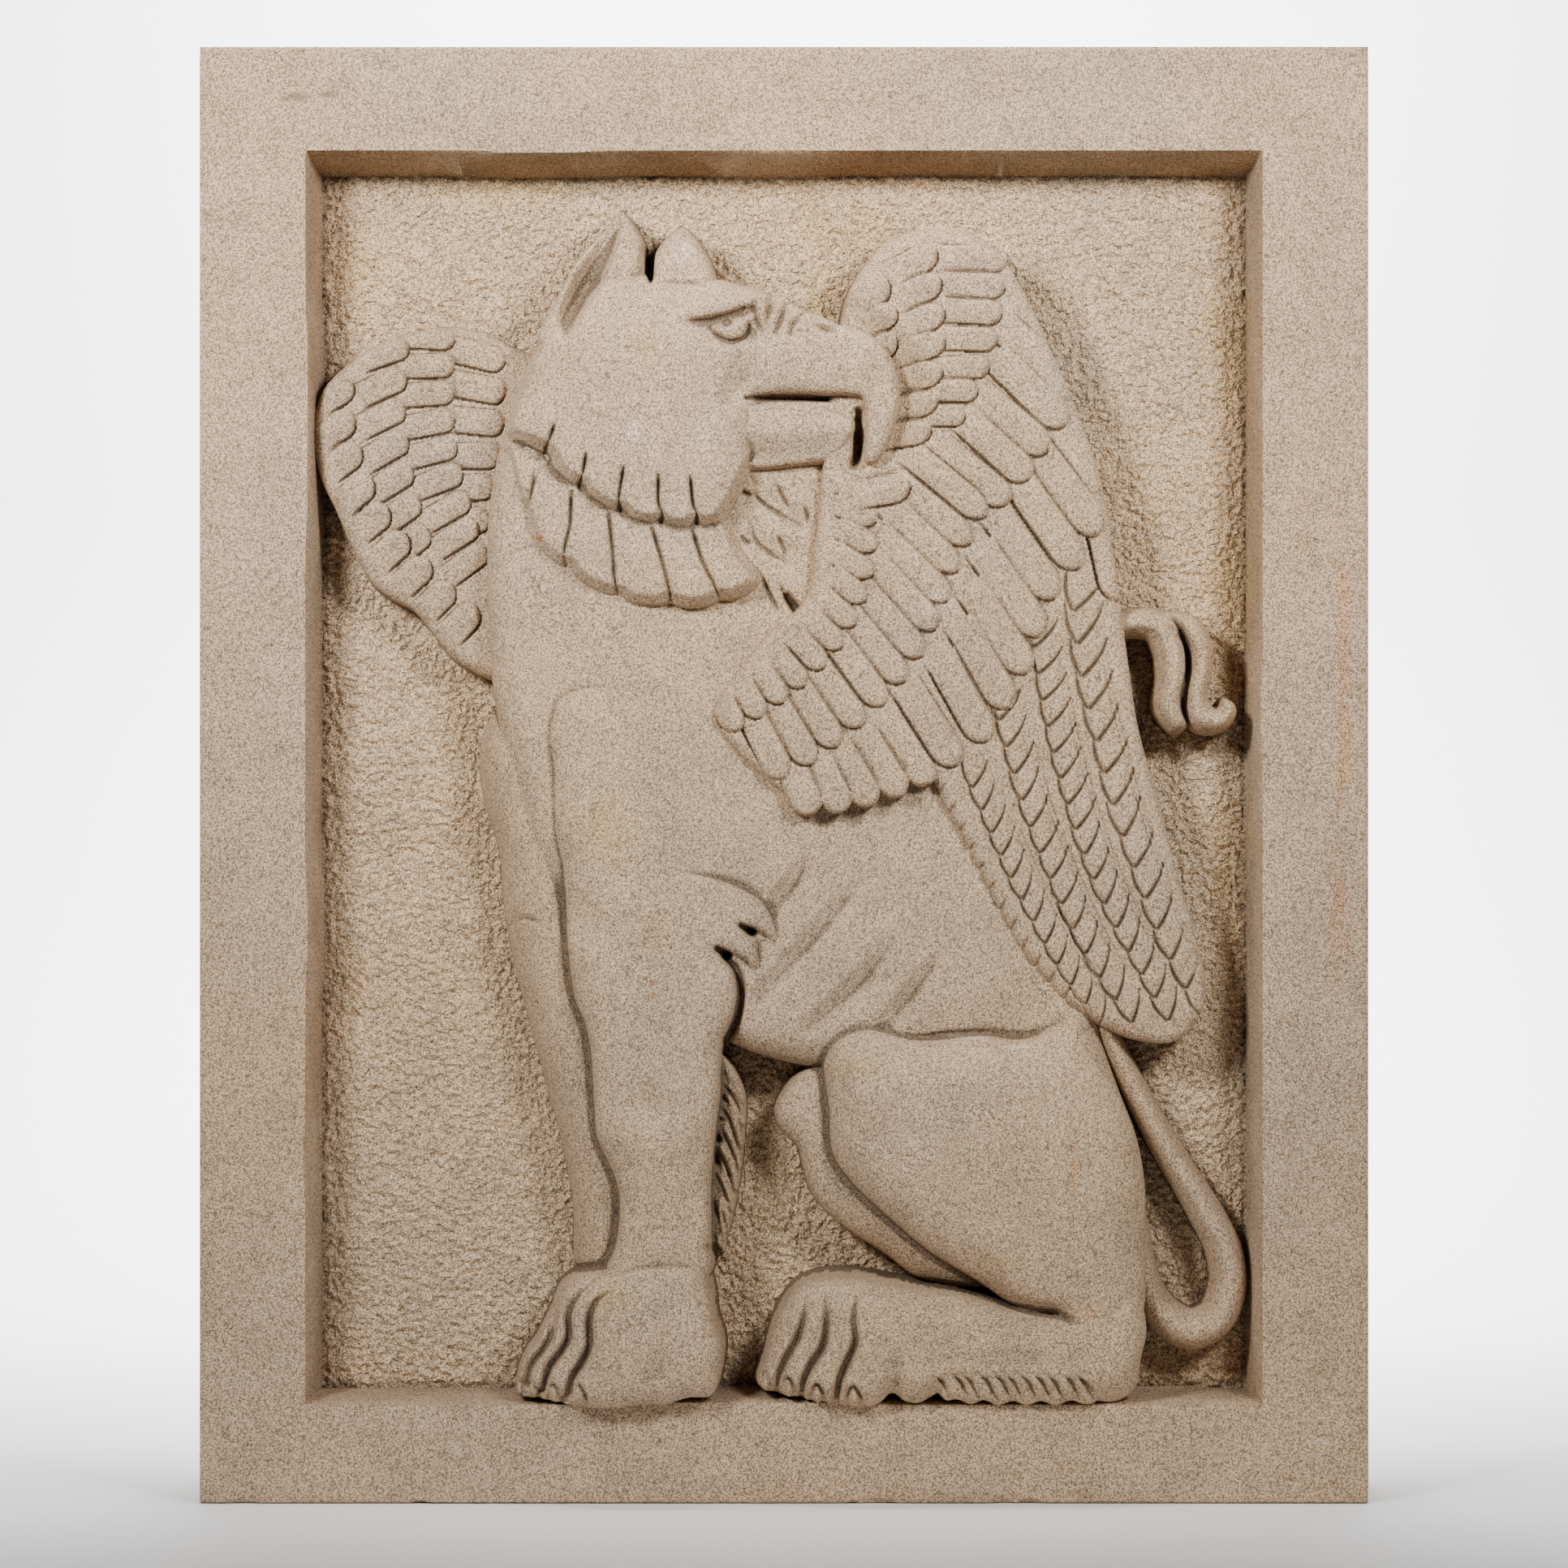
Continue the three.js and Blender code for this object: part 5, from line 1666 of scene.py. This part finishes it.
# %% The marks on the stone
# each is (x, z, half width, half height) in millimetres
OCHRE = [(30, 665, 34, 26), (18, 640, 20, 34), (236, 600, 26, 60), (238, 470, 24, 90),
         (236, 330, 22, 60), (-92, 350, 20, 30), (-72, 604, 14, 18), (34, 228, 24, 12),
         (-90, 108, 16, 10), (-66, 300, 14, 22), (112, 128, 26, 12), (-226, 640, 24, 40),
         (-140, 690, 60, 18)]
GREY = [(66, 452, 60, 34), (110, 500, 30, 40), (-190, 545, 50, 50), (150, 590, 30, 40),
        (-60, 505, 40, 20), (80, 215, 50, 24)]
RUST = [(284, 380, 20, 360), (156, 170, 15, 130), (168, 120, 8, 90), (150, 395, 30, 60)]
BRUISE = [(-52, 652, 9, 14), (-69, 640, 2.4, 12), (-78, 557, 5, 9), (30, 612, 2.6, 7),
          (96, 243.5, 20, 2.0), (122, 238, 12, 2.2), (279, 32, 13, 4), (80, 470, 14, 12)]
SMUDGE = [(-254, 734, 12, 5), (-238, 735, 8, 4)]
FLECK = [(-127, 503, 3, 2), (-68, 265, 2, 2), (-68, 272, 1.5, 3)]


def marks(tree, place, spots, strength):
    """The mask of a list of spots, as strong as told."""
    whole = None
    for x, z, wide, high in spots:
        mask = add(tree, "ShaderNodeGroup", {
            "Place": place, "Middle": (x * MM, 0, z * MM), "Size": (wide * MM, 1, high * MM),
        }, node_tree=SPOT).outputs["Mask"]
        if whole is not None:
            mask = maths(tree, "MAXIMUM", whole, mask)
        whole = mask
    return maths(tree, "MULTIPLY", whole, strength)


def tinted(tree, colour, tint, mask):
    """The colour, tinted through a mask."""
    return add(tree, "ShaderNodeGroup", {"Colour": colour, "Tint": (*tint, 1), "Mask": mask},
               node_tree=TINT).outputs["Colour"]


print("marks:", sum(len(spots) for spots in (OCHRE, GREY, RUST, BRUISE, SMUDGE, FLECK)))

# %% [markdown]
# ## The material
#
# The colour is built up in layers, as on the stone: its beds, the fresh break of the
# pecked ground, stains, bruises, and last of all the dirt and painted shade in the
# cuts, with painted shade on the field's walls. Two bumps lie on one another: the
# grain everywhere, and rougher marks on the ground.

# %% The sandstone
GREY_BED, YELLOW_BED = (0.390, 0.282, 0.186, 1), (0.418, 0.292, 0.180, 1)
# tints multiply the colour below them
FRESH_BREAK, YELLOWED, GREYED = (1.52, 1.54, 1.52), (0.99, 0.94, 0.77), (0.93, 0.98, 1.06)
RUSTED, BRUISED, BLACKENED = (1.02, 0.72, 0.46), (1.32, 1.42, 1.62), (0.42, 0.42, 0.45)
# the last tint darkens the cuts and the field's walls: dirt, and painted shade
REDDENED, DIRT_AND_SHADE_TINT = (1.0, 0.48, 0.34), (0.40, 0.39, 0.38)


def sandstone():
    """The one material of the panel."""
    material = bpy.data.materials.new("sandstone")
    material.use_nodes = True
    tree = material.node_tree
    shader = tree.nodes["Principled BSDF"]
    shader.inputs["Roughness"].default_value = 0.92
    shader.inputs["Specular IOR Level"].default_value = 0.2
    place = add(tree, "ShaderNodeTexCoord").outputs["Object"]
    # how far into a cut, or onto a wall, each point lies: drives the painted shade and dirt below
    recess = add(tree, "ShaderNodeAttribute", attribute_name="recess").outputs["Fac"]
    pecked = add(tree, "ShaderNodeAttribute", attribute_name="pecked").outputs["Fac"]
    grain = add(tree, "ShaderNodeGroup", {"Place": place}, node_tree=GRAIN)

    # beds of greyer and yellower stone
    drift = noise(tree, place, 5.0, 4.0)
    base = add(tree, "ShaderNodeMix", {
        "Factor": spread(tree, drift, 0.35, 0.65),
        6: GREY_BED, 7: YELLOW_BED}, data_type="RGBA")
    colour = add(tree, "ShaderNodeMix", {"Factor": 1.0, 6: base.outputs[2],
                                         7: grain.outputs["Shade"]},
                 data_type="RGBA", blend_type="MULTIPLY").outputs[2]

    # the pecked ground is freshly broken stone: lighter, and yellower in places
    colour = tinted(tree, colour, FRESH_BREAK, pecked)
    colour = tinted(tree, colour, YELLOWED, marks(tree, place, OCHRE, 0.65))
    colour = tinted(tree, colour, GREYED, marks(tree, place, GREY, 0.7))
    long_place = add(tree, "ShaderNodeMapping", {"Vector": place, "Scale": (1.0, 1.0, 0.05)})
    vein = noise(tree, long_place.outputs[0], 90.0, 3.0)
    vein = spread(tree, vein, 0.55, 0.68)
    colour = tinted(tree, colour, RUSTED,
                    maths(tree, "MULTIPLY", vein, marks(tree, place, RUST, 0.55)))
    colour = tinted(tree, colour, BRUISED, marks(tree, place, BRUISE, 0.9))
    dark_grain = spread(tree, grain.outputs["Height"], 0.68, 0.80)
    colour = tinted(tree, colour, BLACKENED,
                    maths(tree, "MULTIPLY", dark_grain, marks(tree, place, SMUDGE, 1.0)))
    colour = tinted(tree, colour, REDDENED, marks(tree, place, FLECK, 0.9))

    # dirt and painted shade in the narrow cuts, and painted shade on the field's walls
    colour = tinted(tree, colour, DIRT_AND_SHADE_TINT, spread(tree, recess, 0.05, 0.42))
    tree.links.new(colour, shader.inputs["Base Color"])
    bump = add(tree, "ShaderNodeBump", {"Height": grain.outputs["Height"], "Distance": 0.0007,
                                        "Strength": 0.7})
    # marks of the point between the dents that the mesh has
    marks_noise = noise(tree, place, 430.0, 3.0)
    marks_noise = maths(tree, "MULTIPLY", spread(tree, marks_noise, 0.3, 0.7), pecked)
    rough = add(tree, "ShaderNodeBump", {"Height": marks_noise, "Distance": 0.0020,
                                         "Strength": 0.8, "Normal": bump.outputs["Normal"]})
    tree.links.new(rough.outputs["Normal"], shader.inputs["Normal"])
    return material


STONE = sandstone()
print("sandstone:", len(STONE.node_tree.nodes), "nodes")

# %% [markdown]
# ## Last steps
#
# Each piece tells the frame which body it rides on and is given the sandstone; the
# solid that the pieces stand in for is hidden. The shapes that the rows were laid
# from have done their work, and are taken away.

# %% Finish
for piece in pieces.values():
    piece.data.materials.clear()
    piece.data.materials.append(STONE)
    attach(piece, "root")
    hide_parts("griffin_relief")

for shape in (FEATHER, COVERT, BARB, LOCK):
    forget(shape)
